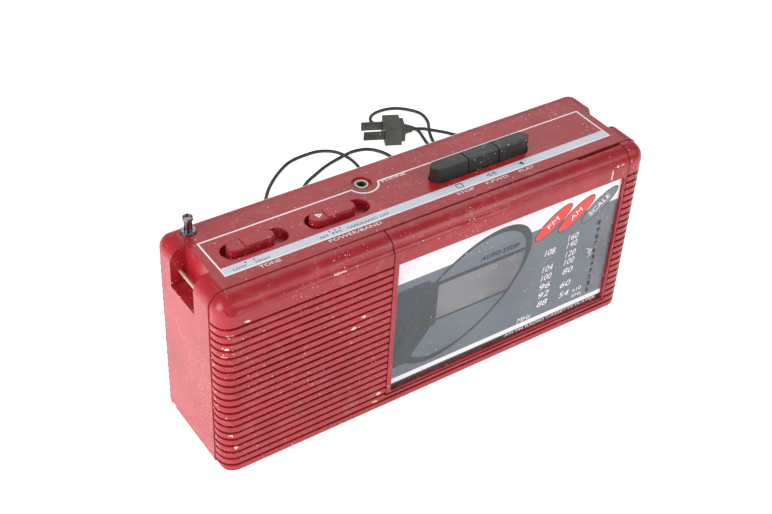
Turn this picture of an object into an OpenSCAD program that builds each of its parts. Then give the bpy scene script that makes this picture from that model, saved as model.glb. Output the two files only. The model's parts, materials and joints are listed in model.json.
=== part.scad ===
// Portable radio cassette player: a ribbed two-part cabinet, a hinged cassette
// door with a printed dial window, three keys, two slide knobs, a telescopic
// aerial, a strap bar in each end, the tape deck and radio inside, and a mains lead.
// Units are millimetres. X runs along the width, the front faces -Y, +Z is up.
// The origin is on the floor, under the middle of the cabinet.

/* [Cabinet] */
// Width over the plain middle band
body_w = 278; // [270:1:290]
// Depth from the grille to the ribbed back
body_d = 70; // [70:1:76]
// Height of the cabinet above its feet
body_h = 117; // [116:0.5:122]
// Height of the moulded feet
foot_h = 1; // [0.6:0.1:2]
// Thickness of the moulded walls
wall = 2.2; // [2:0.1:2.6]
// Radius of the rounded upper and upright edges of the cabinet
edge_r = 9; // [7:0.5:10]
// Radius of the lower side edges
base_r = 3; // [2:0.5:4]
// Depth of the front shell in front of the parting line
front_depth = 11.4; // [11:0.1:12]
// Depth of the ribbed back behind the plain band
back_depth = 8; // [7.5:0.5:9]
// How far the front and back are set in from the band
step_in = 0.5; // [0.3:0.1:0.8]

/* [Ribs] */
// Distance from one rib groove to the next
rib_pitch = 4.77; // [4.6:0.01:4.9]
// Width of a rib groove
groove_w = 1.6; // [1.2:0.1:1.9]
// Depth of a rib groove
groove_d = 1.4; // [1:0.1:1.5]
// Number of grooves
rib_count = 21; // [12:1:21]
// Height of the lowest groove above the cabinet's underside
rib_base = 4.7; // [4.5:0.1:5]
// Radius of the open sound slots over the loudspeaker
sound_r = 31; // [24:1:32]

/* [Cassette door] */
// Left edge of the cassette door
door_left = -37; // [-38:0.5:-36]
// Right edge of the cassette door
door_right = 124; // [123:0.5:125]
// Gap round the cassette door
door_gap = 0.6; // [0.4:0.1:0.8]
// Height of the door's lower edge above the cabinet's underside
door_base = 8.6; // [8.4:0.1:9]
// Angle through which the door opens
door_angle = 45; // [30:1:50]
// Width of the dial window
window_w = 156.4; // [155:0.1:157]
// Height of the dial window
window_h = 90.6; // [89:0.1:91]
// Thickness of the dial window
window_t = 1.8; // [1.4:0.1:2]
// Thickness of the printed dial plate behind the window
dial_t = 0.4; // [0.3:0.1:0.5]

/* [Keys and knobs] */
// Distance from one key to the next
key_pitch = 20.9; // [20.8:0.1:21.5]
// Height of the keys above the top
key_h = 8; // [6:0.5:9]
// Travel of a key
key_travel = 4; // [3:0.5:4]
// Length of a slide knob
knob_l = 26.8; // [25:0.1:28]
// Width of a slide knob
knob_w = 8.5; // [8:0.1:9]
// Height of a slide knob above the top
knob_h = 3.3; // [2.5:0.1:4]
// Length of the well round a slide knob
well_l = 38.2; // [37.5:0.1:40]
// Width of the well round a slide knob
well_w = 12.6; // [12:0.1:13]
// Depth of the well round a slide knob
well_d = 4.4; // [4:0.1:5]
// Travel from low to high tone
tone_travel = 4.8; // [4:0.1:5]
// Travel from the first to the last waveband position
band_travel = 6.4; // [5:0.1:6.6]

/* [Sockets and aerial] */
// Radius of the earphone socket's bore
jack_r = 1.78; // [1.75:0.01:1.85]
// Radius of the recess round the earphone socket
jack_recess_r = 5.6; // [5:0.1:6]
// Outer radius of the aerial's fixed tube
aerial_r = 2.9; // [2.8:0.05:3.2]
// Travel of each aerial section
aerial_travel = 88; // [60:1:88]
// Running clearance between aerial sections
aerial_fit = 0.05; // [0.03:0.01:0.08]

/* [Strap bars] */
// Length of the strap notch along the depth
notch_l = 25; // [22:0.5:26]
// Depth of the strap notch into the end of the cabinet
notch_d = 9.5; // [8:0.1:10]
// Height of the strap notch below the top
notch_h = 23.5; // [20:0.5:25]
// Radius of the strap bar
bar_r = 1; // [0.8:0.1:1.5]

/* [Tape deck] */
// Height of the hub line above the cabinet's underside
hub_z = 60; // [59:0.5:61]
// Distance from one tape hub to the other
hub_pitch = 42.5; // [42.4:0.1:42.6]
// Width of a compact cassette
cassette_w = 100.4; // [100.2:0.1:100.6]
// Radius of the flywheel
flywheel_r = 21; // [18:0.5:21]
// Radius of the motor pulley
pulley_r = 4; // [3:0.5:5]
// Radius of the motor case
motor_r = 13.5; // [12:0.5:14]
// Radius of the pinch roller
pinch_r = 6.5; // [6:0.1:7]

/* [Radio] */
// Radius of the tuning wheel
tuning_r = 18; // [17.5:0.5:18.5]
// Radius of the volume wheel
volume_r = 12; // [11.5:0.5:12.5]
// How far both wheels stand out of the cabinet's end
wheel_out = 2.5; // [2:0.1:3]
// Travel of the dial pointer
pointer_travel = 50; // [40:1:50]
// Radius of the loudspeaker's frame
speaker_r = 38; // [36:0.5:38]

/* [Battery case] */
// Radius of one round cell
cell_r = 13.1; // [12.8:0.1:13.2]
// Length of one round cell
cell_l = 50; // [49:0.5:50]
// Number of cells in the row
cell_count = 4; // [3:1:4]

/* [Mains lead] */
// Radius of the mains lead
cord_r = 1.2; // [1.1:0.1:1.3]
// Turns of the coil in each of its two layers
coil_turns = 4; // [2:1:4]
// Length of the strain relief outside the cabinet
relief_l = 22; // [20:1:30]

/* [Hidden] */

$fn = 72;
eps = 0.01;
fit = 0.05;
gap = 0.3;

red = [0.62, 0.13, 0.17];
dark_red = [0.5, 0.09, 0.13];
black = [0.12, 0.13, 0.13];
steel = [0.72, 0.73, 0.75];
brass = [0.82, 0.7, 0.4];

z_lo = foot_h;
z_top = foot_h + body_h;
x_end = body_w / 2;
y_front = -body_d / 2;
y_back = body_d / 2;
y_seam = y_front + front_depth;
y_step = y_back - back_depth;
x_in = x_end - wall;
z_in = z_top - wall;
back_r = back_depth - step_in;

// Rounded forms of the cabinet

module along_y(y0, y1) {
    translate([0, y1, 0]) rotate([90, 0, 0]) linear_extrude(y1 - y0) children();
}

module along_x(x0, x1) {
    translate([x0, 0, 0]) rotate([90, 0, 90]) linear_extrude(x1 - x0) children();
}

module end_profile(half, lo, hi, r_hi, r_lo) {
    translate([-half, lo + r_lo]) square([2 * half, hi - lo - r_hi - r_lo]);
    translate([-half + r_hi, lo + r_lo]) square([2 * (half - r_hi), hi - lo - r_lo]);
    translate([-half + r_lo, lo]) square([2 * (half - r_lo), hi - lo - r_hi]);
    for (s = [-1, 1]) {
        translate([s * (half - r_hi), hi - r_hi]) circle(r_hi);
        translate([s * (half - r_lo), lo + r_lo]) circle(r_lo);
    }
}

// A block with a rounded front, rounded upper edges and ball corners
module rounded_front(half, y0, y1, lo, hi, r) {
    translate([-half, y0 + r, lo]) cube([2 * half, y1 - y0 - r, hi - r - lo]);
    translate([-half + r, y0, lo]) cube([2 * (half - r), y1 - y0, hi - r - lo]);
    translate([-half + r, y0 + r, lo]) cube([2 * (half - r), y1 - y0 - r, hi - lo]);
    translate([-half + r, y0 + r, hi - r]) rotate([0, 90, 0]) cylinder(r = r, h = 2 * (half - r));
    for (s = [-1, 1]) {
        translate([s * (half - r), y0 + r, lo]) cylinder(r = r, h = hi - r - lo);
        translate([s * (half - r), y1, hi - r]) rotate([90, 0, 0]) cylinder(r = r, h = y1 - y0 - r);
        translate([s * (half - r), y0 + r, hi - r]) rotate([0, s * 45, 0]) rotate([-45, 0, 0]) sphere(r);
    }
}

module front_form(inset, y1, r) {
    intersection() {
        rounded_front(x_end - step_in - inset, y_front + inset, y1, z_lo + step_in + inset,
            z_top - step_in - inset, r);
        along_y(y_front, y1)
            end_profile(x_end - step_in - inset, z_lo + step_in + inset, z_top - step_in - inset,
                r, max(base_r - inset, 0.6));
    }
}

// The hollow of the front shell, rounder than its outside so that the brow is stout
module front_hollow() {
    front_form(wall, y_seam + 4, edge_r - 1);
}

module back_form(inset, y0) {
    mirror([0, 1, 0]) intersection() {
        rounded_front(x_end - step_in - inset, -y_back + inset, -y0, z_lo + step_in + inset,
            z_top - step_in - inset, back_r - inset);
        along_y(-y_back, -y0)
            end_profile(x_end - step_in - inset, z_lo + step_in + inset, z_top - step_in - inset,
                back_r - inset, max(base_r - inset, 0.6));
    }
}

module band_form(inset, y0, y1) {
    along_y(y0, y1)
        end_profile(x_end - inset, z_lo + inset, z_top - inset, edge_r - inset,
            max(base_r - inset, 0.6));
}

// The grooves between the ribs, cut round the front or the back
module groove_rings(y0, y1, half, r) {
    for (i = [0 : rib_count - 1])
        translate([0, 0, z_lo + rib_base + i * rib_pitch - groove_w / 2])
            linear_extrude(groove_w) difference() {
                translate([-half - 5, y0 - 5]) square([2 * half + 10, y1 - y0 + 5]);
                translate([-half + groove_d + r, y0 + groove_d])
                    square([2 * (half - groove_d - r), y1 - y0]);
                translate([-half + groove_d, y0 + groove_d + r])
                    square([2 * (half - groove_d), y1 - y0]);
                for (s = [-1, 1])
                    translate([s * (half - groove_d - r), y0 + groove_d + r]) circle(r);
            }
}

module front_grooves() {
    groove_rings(y_front, y_seam - 1, x_end - step_in, edge_r - groove_d);
}

module back_grooves() {
    mirror([0, 1, 0])
        groove_rings(-y_back, -y_step - 0.6, x_end - step_in, back_r - groove_d);
}

// The tapering flute in the brow, from its round left end to nothing at the right
flute_x = -x_end + 5.5;
flute_end = door_right - 4;
flute_r = 6;
flute_tip_r = 0.5;
flute_sink = 1.6;
flute_tip_sink = 0.15;
flute_tilt = 66;
flute_steps = 4;
module brow_flute() {
    axis_y = y_front + edge_r;
    axis_z = z_top - step_in - edge_r;
    far = edge_r + flute_r - flute_sink;
    a = atan((flute_r - flute_sink - flute_tip_r + flute_tip_sink) / (flute_end - flute_x));
    translate([flute_x, axis_y, axis_z]) rotate([flute_tilt, 0, 0])
        translate([0, 0, far]) rotate([0, a + 90, 0]) rotate_extrude() polygon(concat(
            [for (i = [0:flute_steps]) flute_r * [sin(90 * i / flute_steps), -cos(90 * i / flute_steps)]],
            [[flute_tip_r, flute_end - flute_x], [0, flute_end - flute_x]]));
}

// Case screws and their posts
post_z = [z_lo + 13, z_lo + 60];
post_x = x_end - 7.5;
post_r = 4.2;
post_split = -12;
screw_r = 1.45;
module at_posts() {
    for (s = [-1, 1], z = post_z) translate([s * post_x, 0, z]) children();
}

// Cassette well in the front shell
hole_left = door_left - door_gap;
hole_right = door_right + door_gap;
z_door = z_lo + door_base;
hinge_y = y_front + 2.6;
hinge_z = z_door + 2.5;
hinge_r = 1.2;
hinge_l = 1.5;
rail_z = hinge_z - norm([2.6, 2.5]) - 0.25;
cover_y = -18.4;
cover_t = 1.4;
well_t = 2.2;

// Loudspeaker place
speaker_x = -86;
speaker_z = z_lo + 57;

module sound_slots() {
    intersection() {
        for (i = [0 : rib_count - 1])
            translate([speaker_x - sound_r, y_front - 1, z_lo + rib_base + i * rib_pitch - groove_w / 2])
                cube([2 * sound_r, wall + 2, groove_w]);
        translate([speaker_x, y_front - 1, speaker_z]) rotate([-90, 0, 0])
            cylinder(r = sound_r, h = wall + 2);
    }
}

module front_shell() {
    color(red) difference() {
        union() {
            difference() {
                front_form(0, y_seam, edge_r);
                front_hollow();
            }
            // Side walls of the cassette well
            for (x = [hole_left - well_t, hole_right])
                translate([x, y_front + wall, z_lo + wall + gap / 2])
                    cube([well_t, cover_y - gap - y_front - wall, z_in - z_lo - 5 - wall + step_in]);
            // Screw posts
            intersection() {
                at_posts() translate([0, y_seam, 0]) rotate([90, 0, 0])
                    cylinder(r = post_r, h = front_depth - wall / 2);
                front_form(0.5, y_seam, edge_r - 0.5);
            }
            // Ring that centres the loudspeaker
            translate([speaker_x, y_front + wall + 2, speaker_z]) rotate([90, 0, 0])
                difference() {
                    cylinder(r = speaker_r + 2.2, h = 2.6);
                    translate([0, 0, -1]) cylinder(r = speaker_r + gap, h = 5);
                }
        }
        // Opening for the cassette door
        translate([hole_left, y_front - 1, rail_z])
            cube([hole_right - hole_left, front_depth + 2, body_h]);
        // Hinge bores in the well's side walls
        translate([hole_left - hinge_l - 0.4, hinge_y, hinge_z]) rotate([0, 90, 0])
            cylinder(r = hinge_r + fit, h = hole_right - hole_left + 2 * hinge_l + 0.8);
        at_posts() translate([0, y_seam + 1, 0]) rotate([90, 0, 0])
            cylinder(r = screw_r + 0.02, h = front_depth - wall - 0.4);
        front_grooves();
        sound_slots();
        brow_flute();
    }
}

// Places on the top
tone_x = -99.6;
band_x = -50.4;
knob_y = 0;
key_x0 = 42.2 - 1.5 * key_pitch;
key_y0 = -4.8;
key_y1 = 5;
key_end = 3.6;
key_over = 1.65;
key_slot = 0.5;
jack_x = -24.6;
jack_y = 16.6;
aerial_x = -123.6;
aerial_y = 25.4;
notch_y = -8.5;
bar_x = x_end - 5.6;
bar_z = z_top - 15.5;
well_wall = 1.5;

module stadium(l, w) {
    square([l - w, w], center = true);
    for (s = [-1, 1]) translate([s * (l - w) / 2, 0]) circle(w / 2);
}

// Outline of the row of keys seen from above, grown by g
module key_row_outline(g) {
    l = 3 * key_pitch / 2 + key_over + g;
    c = key_end + g / 2;
    translate([key_x0 + 1.5 * key_pitch, 0])
        polygon([[-l + c, key_y0 - g], [l - c, key_y0 - g], [l, key_y0 - g + c],
            [l, key_y1 + g - c], [l - c, key_y1 + g], [-l + c, key_y1 + g],
            [-l, key_y1 + g - c], [-l, key_y0 - g + c]]);
}

// Wells in which the slide knobs run, with a slot for each stem
stem_l = 6;
stem_w = 3;
module knob_well(x, travel) {
    translate([x, knob_y, z_in - well_d + wall - well_wall])
        linear_extrude(well_d - wall + well_wall + 1)
            stadium(well_l + 2 * well_wall, well_w + 2 * well_wall);
}

module knob_well_cut(x, travel) {
    translate([x, knob_y, z_top - well_d]) linear_extrude(well_d + 1) stadium(well_l, well_w);
    translate([x - (stem_l + travel) / 2 - gap, knob_y - stem_w / 2 - gap, z_top - well_d - 4])
        cube([stem_l + travel + 2 * gap, stem_w + 2 * gap, 8]);
}

module notch_box(s, g, down) {
    x0 = x_end - notch_d - g;
    translate([s > 0 ? x0 : -x0 - notch_d - g - 1, notch_y - g, z_top - notch_h - g - down])
        cube([notch_d + g + 1, notch_l + 2 * g, notch_h + g + down + 1]);
}

// Battery case in the lower back
case_l = cell_count * cell_l + 8;
case_x0 = -104;
case_z0 = z_lo + 3;
case_h = 2 * cell_r + 1;
case_y0 = y_back - wall - 2 * cell_r - 1;
lid_t = 2.2;
lid_l = case_l - 4;
lid_gap = 0.4;
lid_hinge_y = y_back - lid_t / 2;
lid_hinge_z = z_lo + rib_base + rib_pitch / 2;
lid_z0 = lid_hinge_z - lid_t / 2;
lid_z1 = case_z0 + case_h - 1;
lid_pin_r = 0.7;
lid_pin_l = 1.4;

module battery_case_walls() {
    translate([case_x0 - wall, case_y0 - wall, z_lo + wall / 2])
        cube([case_l + 2 * wall, y_back - 3 - case_y0 + wall, case_z0 + case_h + wall - z_lo - wall / 2]);
}

module battery_case_hollow() {
    translate([case_x0, case_y0, case_z0]) cube([case_l, y_back - wall - case_y0, case_h]);
    translate([case_x0 + 2, y_back - wall - 1, lid_z0 - lid_gap])
        cube([lid_l, wall + 2, lid_z1 + lid_gap - lid_z0 + lid_gap]);
    // Bores of the lid's pins, and a notch for a finger above the lid
    translate([case_x0 + 2 - lid_pin_l - 0.3, lid_hinge_y, lid_hinge_z]) rotate([0, 90, 0])
        cylinder(r = lid_pin_r + fit, h = lid_l + 2 * lid_pin_l + 0.6);
    translate([-12, y_back - 1.4, lid_z1 - 1]) cube([24, 3, 4]);
}

relief_x = 115;
relief_z = z_lo + 17;
relief_r = 4;
relief_neck = 3;

wheel_x = x_end + wheel_out;
tuning_x = wheel_x - tuning_r;
tuning_z = z_lo + 37;
volume_x = wheel_x - volume_r;
volume_z = z_lo + 77;
tuning_y0 = -14;
tuning_t = 5;
volume_t = 4.5;

module wheel_slot(z, r, t) {
    h = sqrt(r * r - pow(r - wheel_out - wall - 1, 2));
    translate([x_in - 3, tuning_y0 - 0.6, z - h - 0.6]) cube([8, t + 1.2, 2 * h + 1.2]);
}

feet = [[-118, -15], [118, -15], [-118, 20], [118, 20]];
foot_r = 6;

board_posts = [[14, z_lo + 51], [14, z_lo + 86], [104, z_lo + 51], [104, z_lo + 86]];
switch_posts = [-75, -110];
switch_post_y = 16;
thread_r = 1;
saddle_x = [30, 90];
ferrite_y = 20;
ferrite_z = z_top - 15;
ferrite_r = 5;

module rear_shell() {
    color(red) difference() {
        union() {
            difference() {
                union() {
                    band_form(0, y_seam, y_step);
                    back_form(0, y_step - eps);
                }
                difference() {
                    band_form(wall, y_seam - 1, y_step);
                    for (s = [-1, 1]) notch_box(s, wall, 0);
                }
                back_form(wall, y_step - 2);
            }
            knob_well(tone_x, tone_travel);
            knob_well(band_x, band_travel);
            at_posts() translate([0, y_back - wall / 2, 0]) rotate([90, 0, 0])
                cylinder(r = post_r, h = y_back - wall / 2 - y_seam);
            battery_case_walls();
            // Socket for the foot of the aerial's tube
            translate([aerial_x - 5, aerial_y - 5, z_lo + wall / 2]) cube([10, y_back - wall / 2 - aerial_y + 5, 20]);
            // Pillars of the main board and of the switch board
            for (p = board_posts) translate([p[0], y_back - wall / 2, p[1]]) rotate([90, 0, 0])
                cylinder(r = 3, h = y_back - wall / 2 - board_y - board_t - 0.02);
            for (x = switch_posts) translate([x, switch_post_y, switch_z + 0.02])
                cylinder(r = 3, h = z_in + wall / 2 - switch_z);
            // Saddles that hold the ferrite rod
            for (x = saddle_x)
                translate([x - 2, ferrite_y - ferrite_r - 2, ferrite_z - ferrite_r - 2])
                    cube([4, 2 * ferrite_r + 4, z_in + wall / 2 - ferrite_z + ferrite_r + 2]);
            for (p = feet) translate([p[0], p[1], 0]) cylinder(r = foot_r, h = z_lo + wall / 2);
        }
        knob_well_cut(tone_x, tone_travel);
        knob_well_cut(band_x, band_travel);
        translate([0, 0, z_in - 5]) linear_extrude(wall + 8) key_row_outline(key_slot);
        // Recess and hole for the earphone socket
        translate([jack_x, jack_y, z_top - 1.2]) cylinder(r = jack_recess_r, h = 3);
        translate([jack_x, jack_y, z_in - 2]) cylinder(r = nut_r + 0.1, h = 6);
        // Hole and socket for the aerial
        translate([aerial_x, aerial_y, z_in - 8]) cylinder(r = aerial_r + fit, h = 20);
        translate([aerial_x, aerial_y, z_lo + 14]) cylinder(r = aerial_r + fit, h = 20);
        // Strap notches and their bar holes
        for (s = [-1, 1]) {
            notch_box(s, 0, 0);
            translate([s * bar_x, notch_y + notch_l + 1.7, bar_z]) rotate([90, 0, 0])
                cylinder(r = bar_r + 0.02, h = notch_l + 3.4);
        }
        // Screw holes with deep counterbores
        at_posts() {
            translate([0, y_back + 1, 0]) rotate([90, 0, 0]) cylinder(r = 3.2, h = y_back + 1 - post_split);
            translate([0, post_split + 1, 0]) rotate([90, 0, 0])
                cylinder(r = 1.6, h = post_split + 2 - y_seam);
        }
        battery_case_hollow();
        wheel_slot(tuning_z, tuning_r, tuning_t);
        wheel_slot(volume_z, volume_r, volume_t);
        // Hole for the strain relief
        translate([relief_x, y_back + 1, relief_z]) rotate([90, 0, 0])
            cylinder(r = relief_neck + 0.02, h = wall + 3);
        for (x = saddle_x) translate([x - 3, ferrite_y, ferrite_z]) rotate([0, 90, 0])
            cylinder(r = ferrite_r + 0.05, h = 6);
        for (p = board_posts) translate([p[0], board_y, p[1]]) rotate([-90, 0, 0])
            cylinder(r = thread_r + 0.02, h = 8);
        for (x = switch_posts) translate([x, switch_post_y, switch_z - 1])
            cylinder(r = thread_r + 0.02, h = 8);
        back_grooves();
    }
}

module battery_door() {
    color(dark_red) difference() {
        union() {
            translate([case_x0 + 2 + lid_gap, y_back - lid_t, lid_hinge_z])
                cube([lid_l - 2 * lid_gap, lid_t, lid_z1 - lid_hinge_z]);
            translate([case_x0 + 2 + lid_gap, lid_hinge_y, lid_hinge_z]) rotate([0, 90, 0])
                cylinder(r = lid_t / 2, h = lid_l - 2 * lid_gap);
            translate([case_x0 + 2 - lid_pin_l, lid_hinge_y, lid_hinge_z]) rotate([0, 90, 0])
                cylinder(r = lid_pin_r, h = lid_l + 2 * lid_pin_l);
        }
        back_grooves();
    }
}

// Row of contacts at the two ends of the battery case
module battery_springs() {
    color(steel) translate([case_x0, y_back - wall - cell_r - 0.5, case_z0 + case_h / 2]) {
        translate([0.05, -8, -8]) cube([0.5, 16, 16]);
        rotate([0, 90, 0]) difference() {
            translate([0, 0, 0.5]) cylinder(r1 = 7, r2 = 4.5, h = 6);
            cylinder(r1 = 6, r2 = 3.4, h = 7);
        }
    }
}

module battery_contacts() {
    color(steel) translate([case_x0 + case_l, y_back - wall - cell_r - 0.5, case_z0 + case_h / 2])
        mirror([1, 0, 0]) {
            translate([0.05, -8, -8]) cube([0.5, 16, 16]);
            translate([0.5, 0, 0]) rotate([0, 90, 0]) cylinder(r = 4, h = 0.8);
        }
}

module case_screws() {
    color(steel) at_posts() rotate([90, 0, 0]) {
        translate([0, 0, -post_split - 2.4]) cylinder(r = 3, h = 2.4 - 0.02);
        translate([0, 0, -post_split - 1]) cylinder(r = screw_r, h = 18);
    }
}

// Cassette door: brow, frame round the window, wall behind it and cassette guides
window_x0 = door_left + 3.2;
window_z0 = z_door + 0.9;
window_y0 = y_front + 0.25;
seat_y = window_y0 + window_t + dial_t;
door_wall = 1.8;
guide_y1 = cover_y - 2;
cassette_x = 22;
tape_x0 = -5;
tape_x1 = 52;
tape_z0 = z_lo + 48.5;
tape_z1 = z_lo + 72.5;
scale_x0 = 112.5;
scale_x1 = 119.5;
scale_z0 = z_lo + 18;
scale_z1 = z_lo + 72;

module windows_cut(y0, t, g) {
    translate([tape_x0 - g, y0, tape_z0 - g]) cube([tape_x1 - tape_x0 + 2 * g, t, tape_z1 - tape_z0 + 2 * g]);
    translate([scale_x0 - g, y0, scale_z0 - g]) cube([scale_x1 - scale_x0 + 2 * g, t, scale_z1 - scale_z0 + 2 * g]);
}

lift_x = 91;
module cassette_door() {
    color(red) difference() {
        union() {
            difference() {
                intersection() {
                    front_form(0, y_seam, edge_r);
                    translate([door_left, y_front - 1, z_door])
                        cube([door_right - door_left, front_depth - door_gap + 1, body_h]);
                }
                difference() {
                    front_hollow();
                    // Frame and wall behind the window, and end webs of the brow
                    translate([door_left, y_front, z_door])
                        cube([door_right - door_left, seat_y + door_wall - y_front, body_h - door_base - 12]);
                    for (x = [door_left, door_right - well_t])
                        translate([x, y_front, z_door]) cube([well_t, front_depth - door_gap - 1, body_h]);
                }
            }
            // Cassette guides
            for (s = [-1, 1]) {
                x = cassette_x + s * (cassette_w / 2 + 0.6) - (s > 0 ? 0 : 1.6);
                translate([x, seat_y, z_lo + 30]) cube([1.6, guide_y1 - seat_y, 50]);
                translate([s > 0 ? x - 3.5 : x, guide_y1 - 1.4, z_lo + 30]) cube([5.1, 1.4, 46]);
            }
            translate([cassette_x - cassette_w / 2 - 2.2, seat_y, z_lo + 28.4])
                cube([cassette_w + 4.4, guide_y1 - seat_y, 1.6]);
            // Hinge pins
            translate([door_left - hinge_l - door_gap, hinge_y, hinge_z]) rotate([0, 90, 0])
                cylinder(r = hinge_r, h = door_right - door_left + 2 * (hinge_l + door_gap));
        }
        // Seat of the window and the plate, and openings behind them
        translate([window_x0 - 0.2, y_front - 1, window_z0 - 0.2])
            cube([window_w + 0.4, seat_y - y_front + 1, window_h + 0.4]);
        windows_cut(seat_y - 1, door_wall + 2, 0.6);
        // Finger lift at the upper right
        translate([0, y_seam - door_gap - 1.4, z_in - 3.5])
            linear_extrude(wall + 8)
                polygon([[lift_x, 3], [lift_x + 2.6, 0], [door_right + 1, 0], [door_right + 1, 3]]);
        brow_flute();
    }
}

module dial_window() {
    color([0.75, 0.78, 0.8, 0.45])
        translate([window_x0, window_y0, window_z0]) cube([window_w, window_t, window_h]);
}

module dial_plate() {
    color([0.5, 0.54, 0.58]) difference() {
        translate([window_x0, window_y0 + window_t, window_z0]) cube([window_w, dial_t, window_h]);
        windows_cut(window_y0 + window_t - 1, dial_t + 2, 0);
    }
}

// Black cover of the deck, seen when the door is open
capstan_x = cassette_x - 32;
capstan_z = z_lo + hub_z + 26;
spindle_l = cassette_x - hub_pitch / 2;
spindle_r = cassette_x + hub_pitch / 2;
head_z = capstan_z + 10;
cover_x0 = hole_left - well_t;
cover_x1 = hole_right + well_t;
cover_z1 = z_lo + 104;
pointer_x = 116;
pointer_z = z_lo + 36;
pointer_lo = z_lo + 20;

module deck_cover() {
    color(black) difference() {
        union() {
            translate([cover_x0, cover_y, z_lo + wall])
                cube([cover_x1 - cover_x0, cover_t, cover_z1 - z_lo - wall]);
            for (p = chassis_posts) translate([p[0], chassis_y, p[1]]) rotate([90, 0, 0])
                cylinder(r = 3, h = chassis_y - cover_y - cover_t / 2);
            // Runners of the dial pointer
            translate([pointer_x - 3.2, cover_y + cover_t / 2, pointer_lo - 3])
                cube([6.4, 2, pointer_travel + 8]);
        }
        // Opening for the heads and the pinch roller
        translate([capstan_x - 9, cover_y - 1, capstan_z - 4]) cube([cassette_x - capstan_x + 22, 8, 26]);
        for (x = [spindle_l, spindle_r]) translate([x, cover_y + 4, z_lo + hub_z]) rotate([90, 0, 0])
            cylinder(r = 8, h = 6);
        // Slot of the dial pointer
        translate([pointer_x - 0.9, cover_y - 1, pointer_lo - 2]) cube([1.8, 8, pointer_travel + 4.4]);
        for (p = chassis_posts) translate([p[0], chassis_y + 1, p[1]]) rotate([90, 0, 0])
            cylinder(r = thread_r + 0.02, h = 5);
    }
}

// Tape deck chassis with its top flange and motor pillars
chassis_y = -15;
chassis_t = 1.2;
chassis_x0 = -36;
chassis_x1 = 80;
chassis_z0 = z_lo + 6;
chassis_z1 = z_lo + 103;
chassis_posts = [[-32, z_lo + 12], [76, z_lo + 12], [-32, z_lo + 66], [76, z_lo + 90]];
motor_x = -10;
motor_z = z_lo + 48;
motor_y0 = -4;
motor_l = 20;
belt_y = -10.6;
flange_z = z_lo + 102;
lever_y = -1.5;
lever_t = 1;
lever_w = 8;
flange_y1 = 3;
wheel_front = -12.1;
wheel_t = 1.2;

module deck_chassis() {
    color(steel) difference() {
        union() {
            translate([chassis_x0, chassis_y, chassis_z0])
                cube([chassis_x1 - chassis_x0, chassis_t, chassis_z1 - chassis_z0 + chassis_t]);
            translate([14, chassis_y, flange_z]) cube([chassis_x1 - 14, flange_y1 - chassis_y, chassis_t]);
            // Pillars that carry the motor
            for (a = [200, 270, 340])
                translate([motor_x + 9 * cos(a), motor_y0, motor_z + 9 * sin(a)]) rotate([90, 0, 0])
                    cylinder(r = 1.5, h = motor_y0 - chassis_y - chassis_t / 2);
            // Bearing of the capstan
            translate([capstan_x, chassis_y + chassis_t + 0.3, capstan_z]) rotate([90, 0, 0])
                cylinder(r = 3, h = chassis_t);
            for (x = [spindle_l, spindle_r])
                translate([x, chassis_y + chassis_t + 0.2, z_lo + hub_z]) rotate([90, 0, 0])
                    cylinder(r = 3.4, h = chassis_t + 1.4);
            // Bridge that backs the flywheel
            translate([capstan_x - 26, -4.6, capstan_z - 4]) cube([52, 1.2, 8]);
            for (x = [capstan_x - 26, capstan_x + 24])
                translate([x, chassis_y + chassis_t / 2, capstan_z - 4]) cube([2, -3.6 - chassis_y - chassis_t / 2, 8]);
            // Stud of the idler wheel
            translate([idler_x, wheel_front + 0.1, idler_z]) rotate([90, 0, 0])
                cylinder(r = 1, h = wheel_front - chassis_y - chassis_t / 2);
        }
        for (x = [spindle_l, spindle_r]) translate([x, 0, z_lo + hub_z]) rotate([90, 0, 0])
            cylinder(r = 1.5 + fit, h = 30);
        translate([capstan_x, 0, capstan_z]) rotate([90, 0, 0]) cylinder(r = 1 + fit, h = 30);
        for (p = chassis_posts) translate([p[0], 0, p[1]]) rotate([90, 0, 0]) cylinder(r = 1.2, h = 30);
        // Slots of the key levers in the flange
        for (i = [0 : 2]) translate([key_mid(i) - lever_w / 2 - 0.2, lever_y - 0.2, flange_z - 1])
            cube([lever_w + 0.4, lever_t + 0.4, 4]);
    }
}

module small_screw() {
    translate([0, 0, -1.4]) cylinder(r = 2, h = 1.4 - 0.02);
    translate([0, 0, -0.1]) cylinder(r = thread_r, h = 5);
}

module small_screws() {
    color(steel) {
        for (p = chassis_posts) translate([p[0], chassis_y + chassis_t, p[1]]) rotate([90, 0, 0])
            small_screw();
        for (p = board_posts) translate([p[0], board_y, p[1]]) rotate([-90, 0, 0]) small_screw();
        for (x = switch_posts) translate([x, switch_post_y, switch_z - board_t]) small_screw();
    }
}

// Head plate, pressed down by the play key, with the head and the roller arm
plate_y = -16.3;
plate_t = 1.2;
ear_z = flange_z + 6;
module head_plate() {
    color(steel) {
        translate([capstan_x - 6, plate_y, capstan_z + 6.5])
            cube([cassette_x + 14 - capstan_x, plate_t, 9.5]);
        // Arm and ear under the play key's lever
        translate([cassette_x + 4, plate_y, capstan_z + 11]) cube([key_mid(2) - cassette_x, plate_t, 5]);
        translate([key_mid(2) - 4, plate_y, capstan_z + 11]) cube([8, plate_t, ear_z - capstan_z - 11]);
        // Stud and collar of the pinch roller
        translate([capstan_x, plate_y + plate_t, roller_z]) rotate([90, 0, 0]) {
            cylinder(r = 1.2, h = 13);
            cylinder(r = 3, h = 2.8);
        }
    }
}

roller_z = capstan_z + 1 + pinch_r + 0.2 + key_travel;
module pinch_roller() {
    color(black) translate([capstan_x, plate_y - 1.9, roller_z]) rotate([90, 0, 0]) difference() {
        cylinder(r = pinch_r, h = 9);
        translate([0, 0, -1]) cylinder(r = 1.2 + fit, h = 12);
    }
}

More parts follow.
